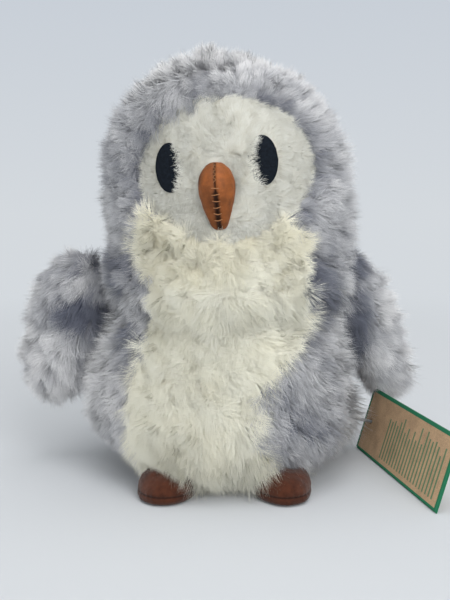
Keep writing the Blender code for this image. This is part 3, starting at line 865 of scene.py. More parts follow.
def soft_form(name, rings, size, inset, place, levels=3):
    """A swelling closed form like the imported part's own, drawn in by the inset, put in its place."""
    half_width, half_depth, height, segments = size
    middle = height / 2

    def place_of(ring, across, along):
        rise, wide, deep, forward = rings[ring]
        x = across * wide * (half_width - inset)
        y = (along * deep - forward) * (half_depth - inset)
        return (x, y, middle + (rise * height - middle) * (middle - inset) / middle)

    made = new_object(name, ringed(name, segments, len(rings) - 1, place_of))
    smooth = made.modifiers.new("swell", "SUBSURF")
    smooth.levels = levels
    smooth.render_levels = levels
    mesh = evaluated_mesh(made, name)
    mesh.transform(place)
    return mesh


def collar():
    """The egg-shaped form that fills the neck between body and head."""

    def place_of(ring, across, along):
        turn = math.pi * ring / COLLAR_RINGS
        reach = (math.sin(turn) * across, math.sin(turn) * along, -math.cos(turn))
        return Vector(COLLAR) + Vector([a * b for a, b in zip(reach, COLLAR_REACH)])

    return ringed("collar", COLLAR_SEGMENTS, COLLAR_RINGS, place_of)


def joined_forms():
    """Body, head and collar as one eased mesh."""
    bm = bmesh.new()
    bm.from_mesh(soft_form("body_form", BODY_RINGS, BODY_SIZE, SKIN_INSET, Matrix.Identity(4)))
    head_place = HEAD_PLACE @ Matrix.Translation((HEAD_SHIFT, 0, 0))
    bm.from_mesh(soft_form("head_form", HEAD_RINGS, HEAD_SIZE, SKIN_INSET, head_place))
    bm.from_mesh(collar())
    made = new_object("owl_forms", mesh_of(bm, "owl_forms"))
    joined = made.modifiers.new("join", "REMESH")
    joined.mode = "VOXEL"
    joined.voxel_size = SKIN_VOXEL
    eased = made.modifiers.new("ease", "SMOOTH")
    eased.factor = 0.5
    eased.iterations = 24
    return evaluated_mesh(made, "owl_skin")


def shared_skin():
    """Body and head as one skin without a crease at the neck, with the hood's roll and the crown's tuft."""
    found = bpy.data.meshes.get("owl_skin")
    if found:
        return found
    mesh = joined_forms()
    co, normals = points_of(mesh)
    local = head_local(co)
    face = face_range(local)
    high = smooth_step(local[:, 2], *HOOD_FOOT)
    edge = smooth_step(face, 0.70, 0.96) * (1 - smooth_step(face, 0.98, 1.06))
    shift = bell(face, 1.20, 0.17) * high * FACE_ROLL - edge * high * FACE_EDGE
    shift = shift + spot(co, CROWN, CROWN_REACH) * CROWN_RISE
    shift = shift + waves(co, LUMP_SIZE, 40) * LUMP_RISE * smooth_step(face, 0.9, 1.3)
    for place, reach, depth in DENTS:
        shift = shift - depth * spot(co, place, reach)
    move_points(mesh, co + weighed(normals, shift * smooth_step(co[:, 2], *SKIN_FOOT)))
    mesh.use_fake_user = True
    return mesh


def region_of(middles):
    """Which piece of fur each place on the shared skin belongs to."""
    x, y, z = middles.T
    face = face_range(head_local(middles)) < FACE_SPLIT
    heights, lefts, rights = np.array(CREAM_EDGES).T
    cream = (x > np.interp(z, heights, lefts)) & (x < np.interp(z, heights, rights))
    cream = cream & (y < CREAM_FRONT) & (z < heights[-1])
    base = (np.hypot(x / BASE_HALF[0], y / BASE_HALF[1]) < 1) & (z < BASE_TOP)
    low = z < NECK_SPLIT
    names = ["face", "base", "belly", "back", "chin"]
    return np.select([face, base, low & cream, low, cream], names, default="hood")


def skin_piece(region):
    """The patch of the shared skin for one piece of fur, with its points and normals."""
    shared = shared_skin()
    bm = bmesh.new()
    bm.from_mesh(shared)
    bm.faces.ensure_lookup_table()
    inside = region_of(np.array([face.calc_center_median() for face in bm.faces])) == region
    bmesh.ops.delete(bm, geom=[face for face, good in zip(bm.faces, inside) if not good], context="FACES")
    skin = mesh_of(bm, shared.name)
    return skin, *points_of(skin)


def fur_settings(fur, name):
    """What the fur tree is given for one piece of fur."""
    density, width, tuft, pull, rise, lift, stray, tuft_stray, tones, glint, segments, seed = FUR_HABITS[name]
    return {
        "Strands per area": fur.strands * PER_SQUARE_MILLIMETRE * density,
        "Tuft size": fur.tuft_size * tuft,
        "Strand width": fur.strand_width * width,
        "Tuft pull": pull,
        "Rise": rise,
        "Lift": lift,
        "Stray": stray,
        "Tuft stray": tuft_stray,
        "Tone spread": tones,
        "Glint": glint,
        "Backing": FUR_BACKING,
        "Segments": segments,
        "Seed": fur.seed + seed,
    }


def map_fur(mesh):
    """Maps each point by its strand's tone and how far up the strand it is. The backing has its own band."""
    along, across, tone = (taken(mesh, name) for name in ("along", "across", "shown_tone"))
    scatter = np.modf(np.abs(np.sin(np.arange(len(along)) * 12.9898) * 43758.5453))[0]
    on_skin = (along == 0) & (np.abs(across) < 0.4)
    u = np.clip(tone, 0.02, 0.98) + across * 0.012
    v = np.where(on_skin, 0.30 + 0.03 * scatter, np.clip(along, 0.0, 1.0) * 0.96 + 0.02)
    corners = np.empty(len(mesh.loops), np.int32)
    mesh.loops.foreach_get("vertex_index", corners)
    layer = mesh.uv_layers.new(name="OFBake")
    layer.data.foreach_set("uv", np.stack([u, v], 1)[corners].astype(np.float32).ravel())


def drop_attributes(mesh):
    """Removes what only the fur tree needed."""
    for key in [found.name for found in mesh.attributes]:
        found = mesh.attributes.get(key)
        if found is None or key in ("OFBake", "material_index"):
            continue
        if not found.is_required and not found.is_internal:
            mesh.attributes.remove(found)


def grow(name, skin, values, fur, finish, body, replaced, slot, blend=None):
    """Grows fur on a skin, makes it a plain mesh, and fits it to its body."""
    for key, value in {**values, "lay": combed(values["lay"])}.items():
        give(skin, key, value)
    tree = bpy.data.node_groups.get("fur") or fur_tree()
    mesh = run_tree(tree, skin, {**fur_settings(fur, name), "Finish": finish}, name)
    shade = taken(mesh, "shade", 3)
    map_fur(mesh)
    drop_attributes(mesh)
    mesh.shade_smooth()
    mesh.normals_split_custom_set_from_vertices(unit(shade))
    piece = new_object(name, mesh)
    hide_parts(*replaced)
    if blend:
        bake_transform(piece, *blend)
    else:
        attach(piece, body)


def new_finish(name):
    """A material, the wiring of its tree and its shader."""
    made = bpy.data.materials.new(name)
    made.use_nodes = True
    return made, Wiring(made.node_tree), made.node_tree.nodes["Principled BSDF"]


def finish_with(name, shown, roughness):
    made, w, shader = new_finish(name)
    set_inputs(shader, {"Base Color": (*shown, 1), "Roughness": roughness})
    return made, w, shader


def set_inputs(node, values):
    for key, value in values.items():
        node.inputs[key].default_value = value


def fur_finish(name, fur, tint):
    """A finish that reads how far up a strand a point is, and the strand's tone, from the fur's own map."""
    made, w, shader = new_finish(name)
    parts = w.parts(w.add("ShaderNodeUVMap", uv_map="OFBake").outputs[0])
    ends = []
    for dark, light in (("_undercoat", "_root"), ("_shade", "_tip")):
        ends.append(w.ramp(parts[0], (0.15, getattr(fur, tint + dark)), (0.80, getattr(fur, tint + light))))
    rise = w.add("ShaderNodeMapRange", {"Value": parts[1], "From Min": 0.05, "From Max": 0.75}).outputs[0]
    w.put(shader.inputs["Base Color"], w.mix(rise, *ends))
    set_inputs(
        shader, {"Roughness": 0.8, "Specular IOR Level": 0.2, "Sheen Weight": 0.25, "Sheen Roughness": 0.5}
    )
    return made


def grey_partings(co, seed):
    """How the grey fur's tone varies: light tufts and narrow dark partings at random, with deeper partings
    and painted shade in the crease at the neck's front.
    """
    broad = waves(co, TONE_WAVES["broad"], seed)
    narrow = 1 - np.abs(waves(co, TONE_WAVES["narrow"], seed + 50)) / 0.22
    fold_shade = bell(co[:, 2], FOLD_SHADE_HEIGHT, FOLD_SHADE_REACH) * smooth_step(-co[:, 1], *FOLD_SHADE_FRONT)
    # Painted shade: the crease at the neck's front is darker, and its partings are deeper
    return (0.15 * broad - 0.24 * np.clip(narrow, 0, 1)) * (1 + 2.0 * fold_shade) - 0.10 * fold_shade


def shade_and_dark_patch(co):
    """How much darker the grey fur is: painted shade beside the cream, and a darker grey patch low at the
    front on the right.
    """
    return sum(depth * spot(co, place, reach) for place, reach, depth in SHADE_AND_DARK_PATCH_SPOTS)


def rear_cover(co):
    """The share of strands at each place, which is less at the rear."""
    return 1 - 0.35 * smooth_step(co[:, 1], *REAR)


def over_feet(co):
    """How near each place is to a foot's top, where the body's fur hangs over the suede."""
    return np.maximum(*[spot(co, place, reach) for place, reach in FOOT_TOPS])


def over_feet_lay(co, normals, lay):
    """The fur's lay, turned outwards and forwards over the feet."""
    near = over_feet(co)[:, None]
    return lay * (1 - 0.6 * near) + (normals * 0.9 + FEET_LAY) * near


def cream_comb(co, normals):
    """How the cream fur of chin and belly lies: down and outwards from a whorl, in soft lumps."""
    down = unit(along_skin(DOWN, normals))
    rise = co[:, 2] - WHORL_HEIGHT
    swirl = np.stack([-rise, np.zeros(len(co)), co[:, 0]], 1) / WHORL_REACH
    swirl = weighed(swirl, bell(np.hypot(co[:, 0], rise), 0, WHORL_REACH))
    outward = along_skin(co - np.array(CREAM_MIDDLE), normals) / CREAM_FAN
    neck = bell(co[:, 2], NECK_SPLIT, CREAM_NECK_REACH)
    lay = weighed(down, 0.55 + 0.6 * neck) + outward * 0.6 + along_skin(swirl, normals) * 0.6
    lay = lay + weighed(along_skin(wave_vectors(co, LAY_WAVES["cream"], 14), normals), 1.0 - 0.5 * neck)
    shaded = smooth_step(co[:, 2], *CREAM_SHADE_HEIGHTS)
    return {
        "lay": over_feet_lay(co, normals, lay),
        "tone": 0.66 + 0.22 * waves(co, TONE_WAVES["cream"], 16) - 0.35 * shaded,
        "cover": 1 + 0.4 * neck,
    }


def hood_fur(fur):
    """Hood, combed away from the face, but down over it at the crown."""
    skin, co, normals = skin_piece("hood")
    local = head_local(co)
    face = face_range(local)
    away = unit(along_skin(co - FACE_MIDDLE, normals))
    down = unit(along_skin(DOWN, normals))
    forward = unit(along_skin(CROWN_LAY, normals))
    behind = smooth_step(local[:, 1], *HOOD_BEHIND)
    crown = spot(co, CROWN, HOOD_CROWN_REACH)
    lay = weighed(away, 1 - 0.75 * behind) + weighed(down, 0.15 + 0.85 * behind)
    lay = weighed(lay, 1 - crown) + weighed(forward, 1.1 * crown)
    stray = wave_vectors(co, LAY_WAVES["hood"], 1) * 0.6 + wave_vectors(co, LAY_WAVES["hood_fine"], 41) * 0.7
    lay = lay + along_skin(stray, normals)
    fringe = spot(co, *FRINGE)
    hanging = down * 1.2 + along_skin(FRINGE_LAY, normals)
    high = smooth_step(co[:, 2], *CROWN_PILE_AND_LIGHT_HEIGHTS)
    share = 0.75 + 0.25 * smooth_step(face, 1.0, 1.4) - 0.32 * high + 0.5 * fringe
    face_edge_shade = 1 - smooth_step(face, 1.0, 1.15)
    values = {
        "lay": weighed(lay, 1 - fringe) + weighed(hanging, fringe),
        "pile": fur.hood_pile * (1 + 0.12 * waves(co, PILE_WAVES["hood"], 2)) * share,
        # Painted shade darkens the hood's inner edge beside the face and its low sides, and painted light
        # brightens the crown
        "tone": 0.66 + grey_partings(co, 3) - 0.18 * face_edge_shade + 0.16 * high - shade_and_dark_patch(co),
        "cover": rear_cover(co),
    }
    grey = fur_finish("grey_hood_fur", fur, "grey")
    grow("hood", skin, values, fur, grey, "head", ("hood_panel", "head_filling"), "hood_panel", HOOD_BLEND)


def face_fur(fur):
    """Face, short and dense, combed away from the outer edges of the eyes and over their inner edges."""
    skin, co, normals = skin_piece("face")
    local = head_local(co)
    outward = along_skin(co - FACE_MIDDLE, normals) / FACE_FAN
    lay = outward * 0.45 + along_skin(wave_vectors(co, LAY_WAVES["face"], 4), normals) * 0.8
    cover = np.ones(len(co))
    for side in (-1, 1):
        x = (local[:, 0] - HEAD_SHIFT - side * EYE_SPACING / 2) / EYE_HALF[0]
        z = (local[:, 2] - EYE_RISE) / EYE_HALF[1]
        inside = np.hypot(x, z)
        inner = smooth_step(-x * side, 0.1, 0.8)
        cover = np.minimum(cover, smooth_step(inside, 0.98 - 0.11 * inner, 1.02 - 0.09 * inner))
        rim = 1 - smooth_step(inside, 1.0, 1.5)
        from_eye = np.stack([x * EYE_HALF[0], np.zeros(len(co)), z * EYE_HALF[1]], 1)
        turned = unit(along_skin(from_eye @ np.array(HEAD_PLACE)[:3, :3].T, normals))
        lay = weighed(lay, 1 - rim) + weighed(turned, rim) * (1.0 - 1.7 * inner[:, None])
    values = {
        "lay": lay,
        "pile": fur.face_pile * (1 + 0.08 * waves(co, PILE_WAVES["face"], 5)),
        "tone": 0.52 + 0.18 * waves(co, TONE_WAVES["face"], 6),
        "cover": cover,
    }
    cream = fur_finish("cream_face_fur", fur, "face")
    grow("face", skin, values, fur, cream, "head", ("face_panel",), "face_panel")


def chin_fur(fur):
    """Chin, shorter under the beak and at the neck."""
    skin, co, normals = skin_piece("chin")
    values = cream_comb(co, normals)
    under_beak = spot(co, *UNDER_BEAK)
    values["lay"] = weighed(values["lay"], 1 - under_beak) + weighed(CHIN_LAY, under_beak)
    share = (1 - 0.45 * under_beak) * (1 - 0.45 * bell(co[:, 2], NECK_SPLIT, CHIN_NECK_REACH))
    values["pile"] = fur.belly_pile * (0.95 + 0.15 * waves(co, PILE_WAVES["chin"], 8)) * share
    cream = fur_finish("cream_chin_fur", fur, "cream")
    grow("chin", skin, values, fur, cream, "head", ("chin_panel",), "chin_panel", CHIN_BLEND)


def back_fur(fur):
    """Back and sides, short at the hem but long beside the hang tag."""
    skin, co, normals = skin_piece("back")
    down = unit(along_skin(DOWN, normals))
    outward = along_skin(co * SIDEWAYS, normals) / BACK_FAN
    lay = down + weighed(outward, 0.5 * smooth_step(-co[:, 1], *BACK_FRONT))
    lay = lay + along_skin(wave_vectors(co, LAY_WAVES["back"], 11), normals) * 0.65
    reaching = np.maximum(smooth_step(co[:, 2], *BACK_LOW), smooth_step(-co[:, 1], *BACK_AHEAD))
    share = 0.5 + 0.5 * reaching + 0.9 * spot(co, *BY_TAG) + 0.1 * over_feet(co)
    # Painted light: the back's left side is lighter
    left_painted_light = 0.20 * smooth_step(-co[:, 0], *BACK_PAINTED_LIGHT_SIDE)
    values = {
        "lay": over_feet_lay(co, normals, lay),
        "pile": fur.back_pile * (1 + 0.18 * waves(co, PILE_WAVES["back"], 12)) * share,
        "tone": 0.63 + grey_partings(co, 13) + left_painted_light - shade_and_dark_patch(co),
        "cover": rear_cover(co),
    }
    grey = fur_finish("grey_back_fur", fur, "grey")
    grow("back", skin, values, fur, grey, "body", ("body_back_panel", "body_filling"), "body_back_panel")


def belly_fur(fur):
    """Belly, longer at the hem and over the feet."""
    skin, co, normals = skin_piece("belly")
    share = 1 + 0.7 * over_feet(co) + 0.25 * (1 - smooth_step(co[:, 2], *BELLY_HEM))
    values = cream_comb(co, normals)
    values["pile"] = fur.belly_pile * (1 + 0.2 * waves(co, PILE_WAVES["belly"], 15)) * share
    cream = fur_finish("cream_belly_fur", fur, "cream")
    grow("belly", skin, values, fur, cream, "body", ("belly_panel",), "belly_panel")


def base_fur(fur):
    """Base, in short sparse fur."""
    skin, co, normals = skin_piece("base")
    values = {
        "lay": along_skin(wave_vectors(co, LAY_WAVES["base"], 17), normals) * 1.2 + BASE_LAY,
        "pile": np.full(len(co), BASE_PILE),
        "tone": 0.45 + 0.2 * waves(co, TONE_WAVES["base"], 18),
        "cover": np.ones(len(co)),
    }
    grey = fur_finish("grey_base_fur", fur, "grey")
    grow("base", skin, values, fur, grey, "body", ("base_panel",), "base_panel")


def wing_fur(fur, side, label):
    """One wing, combed to its tip, with its top and tip moved to where the sewn wing has them."""
    sweep, spread, turn = (math.radians(angle) for angle in WING_TURNS[side])
    turned = Euler((sweep, spread, turn), "ZYX").to_matrix().to_4x4()
    place = Matrix.Translation(SHOULDERS[side]) @ turned @ Matrix.Rotation(math.pi, 4, "X")
    skin = soft_form(label, WING_RINGS, WING_SIZES[side], SKIN_INSET, place)
    shoulder = np.array(SHOULDERS[side])
    axis = np.array(turned.to_3x3() @ Vector((0, 0, -1)))
    co, normals = points_of(skin)
    far = (co - shoulder) @ axis / WING_SIZES[side][2]
    top = 1 - smooth_step(far, 0.25, 0.65)
    tip = smooth_step(far, 0.60, 1.0)
    shift = np.outer(top, WING_TOP_SHIFTS[side]) + np.outer(tip, WING_TIP_SHIFTS[side])
    move_points(skin, co + shift)

    co, normals = points_of(skin)
    centre = shoulder + np.outer((co - shoulder) @ axis, axis)
    outward = along_skin(co - centre, normals) / WING_FAN
    curl = wave_vectors(co, LAY_WAVES["wing"], 20 + side) * 0.9 + np.outer(tip * max(0, side), 0.9 * SIDEWAYS)
    lay = along_skin(axis, normals) * 1.1 + weighed(outward, 0.35 + 0.3 * top) + along_skin(curl, normals)
    share = (0.6 + 0.4 * smooth_step(far, 0.05, 0.3)) * (1 + 0.2 * side * tip)
    # Painted shade: each wing is darker on its side towards the body and in its folds against the body
    dark = 0.35 * smooth_step(-side * (co - centre)[:, 0], *WING_INNER_SHADE_SIDE)
    for fold_shade in WING_FOLD_SHADOWS[side]:
        dark = dark + WING_FOLD_SHADOW_DEPTH * spot(co, *fold_shade)
    values = {
        "lay": lay,
        "pile": fur.wing_pile * (1 + 0.2 * waves(co, PILE_WAVES["wing"], 22 + side)) * share,
        "tone": 0.74 + 1.2 * grey_partings(co, 24 + side) + 0.15 * far - dark,
        "cover": np.ones(len(co)),
    }
    grey = fur_finish("grey_" + label + "_fur", fur, "grey")
    replaced = (label, label + "_lining", label + "_filling")
    grow(label + "_fur", skin, values, fur, grey, label, replaced, label)


def clouded(w, shown, clouds, grain, grain_share, stops, tones):
    """A colour that varies in clouds and grain, and the grain. Each has a scale, detail and roughness."""
    where = w.where()
    fine = w.noise(where, *grain)
    light = w.plus_times(fine, grain_share, w.times(w.noise(where, *clouds), 1 - grain_share))
    low, high = ([min(1, part * tone) for part in shown] for tone in tones)
    return w.ramp(light, (stops[0], low), (stops[1], high)), fine


def mottle(w, shader, shown, scales, spread, bump, bump_distance):
    """Gives a finish its uneven colour and its fine relief, both from noise on Object coordinates."""
    clouds = (scales[0], 4.0, 0.6)
    grain = (scales[1], 6.0, 0.65)
    mixed, fine = clouded(w, shown, clouds, grain, 0.4, (0.3, 0.7), (1 - spread, 1 + spread))
    w.put(shader.inputs["Base Color"], mixed)
    w.relief(shader, fine, bump, bump_distance)


def darkened(w, mixed, shown, share):
    """The mixed colour, darkened to a share of the shown one as painted shade where the piece's shade
    attribute says.
    """
    dark = w.add("ShaderNodeAttribute", attribute_name="shade").outputs["Fac"]
    return w.mix(dark, mixed, (*[part * share for part in shown], 1))


def felt(name, trim):
    """Black felt, rough and fuzzy."""
    made, w, shader = finish_with(name, trim.felt, 0.95)
    mottle(w, shader, trim.felt, (900, 4200), 0.6, 0.6, 0.0003)
    set_inputs(shader, {"Specular IOR Level": 0.15})
    return made


def leather(name, trim, tone):
    """Tan leather, darkened by painted shade where the piece's own shade attribute says and made lighter or
    darker by its tone as painted light, with a fine grain and faint creases.
    """
    made, w, shader = finish_with(name, trim.leather, 0.5)
    clouds = (220.0, 4.0, 0.6)
    grain = (2200.0, 5.0, 0.7)
    mixed, fine = clouded(w, trim.leather, clouds, grain, 0.35, (0.32, 0.68), (0.55 * tone, 1.35 * tone))
    w.put(shader.inputs["Base Color"], darkened(w, mixed, trim.leather, 0.12))
    cells = w.add("ShaderNodeTexVoronoi", {"Vector": w.where(), "Scale": 1500.0})
    w.relief(shader, w.plus_times(cells.outputs["Distance"], 0.6, fine), 0.45, 0.0002)
    w.put(shader.inputs["Roughness"], w.plus_times(fine, 0.3, 0.45))
    set_inputs(shader, {"Specular IOR Level": 0.25})
    return made


def suede(name, trim):
    """Brown suede with a short nap, darkened by painted shade where the piece's own shade attribute says."""
    made, w, shader = finish_with(name, trim.suede, 0.95)
    clouds = (240.0, 5.0, 0.65)
    grain = (3200.0, 4.0, 0.7)
    mixed, nap = clouded(w, trim.suede, clouds, grain, 0.45, (0.34, 0.66), (0.5, 1.7))
    w.put(shader.inputs["Base Color"], darkened(w, mixed, trim.suede, 0.3))
    w.relief(shader, nap, 0.6, 0.0003)
    set_inputs(shader, {"Sheen Weight": 0.2, "Specular IOR Level": 0.15})
    return made


def thread(name, trim):
    """Rough brown thread."""
    made, w, shader = finish_with(name, trim.thread_colour, 0.8)
    mottle(w, shader, trim.thread_colour, (1500, 9000), 0.4, 0.5, 0.0001)
    return made


def nylon(name, trim):
    """Clear nylon."""
    made, w, shader = finish_with(name, trim.nylon, 0.35)
    mottle(w, shader, trim.nylon, (300, 2400), 0.05, 0.1, 0.0001)
    set_inputs(shader, {"Transmission Weight": 0.6})
    return made


def card(name, trim):
    """Brown card with flecks, a printed border and plain rules."""
    made, w, shader = finish_with(name, trim.card, 0.85)
    clouds = (120.0, 3.0, 0.5)
    grain = (1600.0, 3.0, 0.7)
    mixed, flecks = clouded(w, trim.card, clouds, grain, 0.6, (0.36, 0.62), (0.72, 1.15))
    w.put(shader.inputs["Base Color"], w.mix(tag_print(w), mixed, (*trim.edge, 1)))
    w.relief(shader, flecks, 0.25, 0.0001)
    return made


def tag_print(w):
    """How much ink each place on the hang tag has: its border in full, and its rules a little less."""
    from_hole = w.vector("SUBTRACT", w.where(), tuple(TAG_HOLE))
    along = w.vector("DOT_PRODUCT", from_hole, tuple(TAG_TURN @ Vector((0, -1, 0))))
    up = w.vector("DOT_PRODUCT", from_hole, tuple(TAG_TURN @ Vector((0, 0, 1))))
    length, height = TAG_SIZE
    aside = w.math("SUBTRACT", height / 2, w.math("ABSOLUTE", up))
    beyond = w.math("SUBTRACT", length - TAG_HOLE_INSET, along)
    behind = w.math("ADD", along, TAG_HOLE_INSET)
    inward = w.math("MINIMUM", aside, w.math("MINIMUM", beyond, behind))
    row = w.math("DIVIDE", along, TAG_RULE_PITCH)
    on_row = w.math("LESS_THAN", w.math("FRACT", row), TAG_RULE_SHARE)
    uneven = w.add("ShaderNodeTexWhiteNoise", {"W": w.math("FLOOR", row)}, noise_dimensions="1D")
    reach = w.plus_times(uneven.outputs["Value"], -height * 0.25, height * 0.86)
    within = w.math("LESS_THAN", w.math("ADD", up, height / 2), reach)
    inside = w.math("GREATER_THAN", inward, TAG_BORDER * 2.2)
    later = w.math("GREATER_THAN", along, TAG_RULE_START)
    rules = w.times(w.times(on_row, within), w.times(inside, later))
    return w.math("MAXIMUM", w.math("LESS_THAN", inward, TAG_BORDER), w.times(rules, TAG_RULE_INK))


def set_on_skin(place, search, centre, tilt, rings=12, around=56):
    """A closed oval pad that follows the skin, high above it in the middle and low at the edge."""
    bm = bmesh.new()
    toward = place.to_3x3() @ Vector((0, 1, 0))

    def on_skin(share, angle, height):
        height += tilt * share * math.cos(angle) if height > 0 else 0
        x = centre[0] + EYE_HALF[0] * share * math.cos(angle)
        z = centre[1] + EYE_HALF[1] * share * math.sin(angle)
        found = search.ray_cast(place @ Vector((x, EYE_RAY_START, z)), toward)[0]
        return found - toward * height

    turns = [2 * math.pi * step / around for step in range(around)]
    shares = [math.sin(step / rings * math.pi / 2) for step in range(rings, 0, -1)]
    rises = [(share, EYE_LOW + (EYE_HIGH - EYE_LOW) * (1 - share**4)) for share in shares]
    layers = []
    for share, rise in [(1.0, -PAD_DEPTH), *rises]:
        layers.append([bm.verts.new(on_skin(share, turn, rise)) for turn in turns])
    top = bm.verts.new(on_skin(0, 0, EYE_HIGH))
    bottom = bm.verts.new(on_skin(0, 0, -PAD_DEPTH))
    for step in range(around):
        after = (step + 1) % around
        for lower, upper in zip(layers, layers[1:]):
            bm.faces.new((lower[step], lower[after], upper[after], upper[step]))
        bm.faces.new((layers[-1][step], layers[-1][after], top))
        bm.faces.new((layers[0][after], layers[0][step], bottom))
    bmesh.ops.recalc_face_normals(bm, faces=bm.faces)
    return mesh_of(bm, "pad")


def eye(trim, search, side, label):
    """One oval eye of felt, set on the face."""
    centre = (HEAD_SHIFT + side * EYE_SPACING / 2, EYE_RISE)
    mesh = set_on_skin(HEAD_PLACE, search, centre, side * EYE_TILT)
    mesh.shade_smooth()
    co, normals = points_of(mesh)
    move_points(mesh, co + weighed(normals, waves(co, FELT_FUZZ[0], 31) * FELT_FUZZ[1]))
    mesh.materials.append(felt(label + "_felt", trim))
    piece = new_object(label + "_felt", mesh)
    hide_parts(label)
    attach(piece, "head")


def beak_form(form, trim):
    """Presses the seam, its puckers and creases into the beak's form, and gives how much painted shade each
    point has.
    """
    co, normals = points_of(form)
    x = co[:, 0]
    front = co[:, 1] < 0
    rise = co[:, 2] / BEAK_SIZE[2]
    sewn = smooth_step(-rise, -0.60, -0.52)
    pucker = 0.5 + 0.5 * np.cos(2 * math.pi * (co[:, 2] - STITCH_START) / trim.stitch_pitch)
    seam = bell(x, 0, BEAK_GROOVE[0]) * front
    near = bell(x, 0, BEAK_PUCKER[0]) * front
    shift = -BEAK_GROOVE[1] * seam - BEAK_PUCKER[1] * near * pucker * sewn
    shift = shift + BEAK_CREASES[1] * waves(co, BEAK_CREASES[0], 61)
    move_points(form, co + weighed(normals, shift))
    # Painted shade: darker in the seam's groove, along the sewn band, beside the seam and down the beak's
    # left edge
    leaning = -x + BEAK_SHADED_EDGE_LEAN * (co[:, 2] - BEAK_SHADED_EDGE_HEIGHT)
    edge = smooth_step(leaning, *BEAK_SHADED_EDGE) * front * smooth_step(rise, 0.35, 0.6)
    band = np.exp(-((x / BEAK_SHADED_BAND) ** 4)) * front
    wide = bell(x, 0, BEAK_SHADOW) * front * sewn
    return np.clip(0.85 * seam + band * sewn * (0.55 + 0.25 * pucker) + 0.65 * edge + 0.22 * wide, 0, 1)


def beak_half(form, shade, trim, place, side, label):
    """One closed half of the beak, cut from the whole form beside the seam."""
    bm = bmesh.new()
    bm.from_mesh(form)
    layer = bm.verts.layers.float.new("shade")
    for vert, value in zip(bm.verts, shade):
        vert[layer] = value
    cut = {"plane_co": (side * SEAM_GAP, 0, 0), "plane_no": (-side, 0, 0), "clear_outer": True}
    rim = bmesh.ops.bisect_plane(bm, geom=[*bm.verts, *bm.edges, *bm.faces], **cut)["geom_cut"]
    bmesh.ops.holes_fill(bm, edges=[part for part in rim if isinstance(part, bmesh.types.BMEdge)])
    bmesh.ops.recalc_face_normals(bm, faces=bm.faces)
    mesh = mesh_of(bm, label)
    mesh.shade_smooth()
    mesh.transform(place)
    # Painted light: the right half's leather is lighter and the left half's darker
    mesh.materials.append(leather(label + "_leather", trim, 1.0 + 0.08 * side))
    piece = new_object(label + "_hide", mesh)
    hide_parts(label, *(["beak_filling"] if side < 0 else []))
    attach(piece, "head")


def stitch_tree():
    """A tree that puts an arched stitch on each point, turned and sized as the point's attributes say."""
    w, given = new_tree(
        "stitches",
        (
            ("Width", "NodeSocketFloat", 0.004),
            ("Rise", "NodeSocketFloat", 0.001),
            ("Thread", "NodeSocketFloat", 0.0005),
            ("Finish", "NodeSocketMaterial", None),
        ),
    )
    half = w.times(given["Width"], 0.5)
    left, right = (w.point(w.times(half, side)) for side in (-1, 1))
    peak = w.point(z=w.times(given["Rise"], 2.0))
    arch = w.geometry("CurveQuadraticBezier", {"Resolution": 10, "Start": left, "Middle": peak, "End": right})
    ring = w.geometry("CurvePrimitiveCircle", {"Resolution": 8, "Radius": w.times(given["Thread"], 0.5)})
    tube = w.geometry("CurveToMesh", {"Curve": arch, "Profile Curve": ring, "Fill Caps": True})
    turn = w.read_vector("turn")
    size = w.read_vector("size")
    placed = {"Points": given["Geometry"], "Instance": tube, "Rotation": turn, "Scale": size}
    return end_tree(w, w.geometry("InstanceOnPoints", placed), given["Finish"])


def stitch_spots(trim):
    """Height, size and tilt of each stitch: whipstitches below, a fine zigzag above."""
    pitch = trim.stitch_pitch
    spots = []
    for step in range(trim.stitch_count):
        spots.append((STITCH_START + step * pitch, (1.0, 1.0, 1.0), 0.10 * (-1) ** step))
    height = ZIGZAG_TOP
    while height > STITCH_START + trim.stitch_count * pitch:
        spots.append((height, ZIGZAG_SIZE, 0.70 * (-1) ** len(spots)))
        height -= pitch * ZIGZAG_PITCH_SHARE
    return spots


def stitches(search, trim, place):
    """The thread over the beak's seam."""
    points = []
    turns = []
    sizes = []
    for height, size, tilt in stitch_spots(trim):
        found, normal = search.ray_cast(Vector((0, STITCH_RAY_START, height)), Vector((0, 1, 0)))[:2]
        turned = Matrix.Rotation(tilt, 3, normal) @ normal.to_track_quat("Z", "Y").to_matrix()
        points.append(place @ (found - normal * STITCH_SINK))
        turns.append(tuple((place.to_3x3() @ turned).to_euler()))
        sizes.append(size)
    spots = bpy.data.meshes.new("stitch_points")
    spots.from_pydata(points, [], [])
    give(spots, "turn", np.array(turns))
    give(spots, "size", np.array(sizes))
    settings = {
        "Width": STITCH_WIDTH,
        "Rise": STITCH_RISE,
        "Thread": trim.thread,
        "Finish": thread("beak_thread", trim),
    }
    mesh = run_tree(stitch_tree(), spots, settings, "beak_stitches_thread")
    mesh.shade_smooth()
    piece = new_object("beak_stitches_thread", mesh)
    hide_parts("beak_stitches")
    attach(piece, "head")


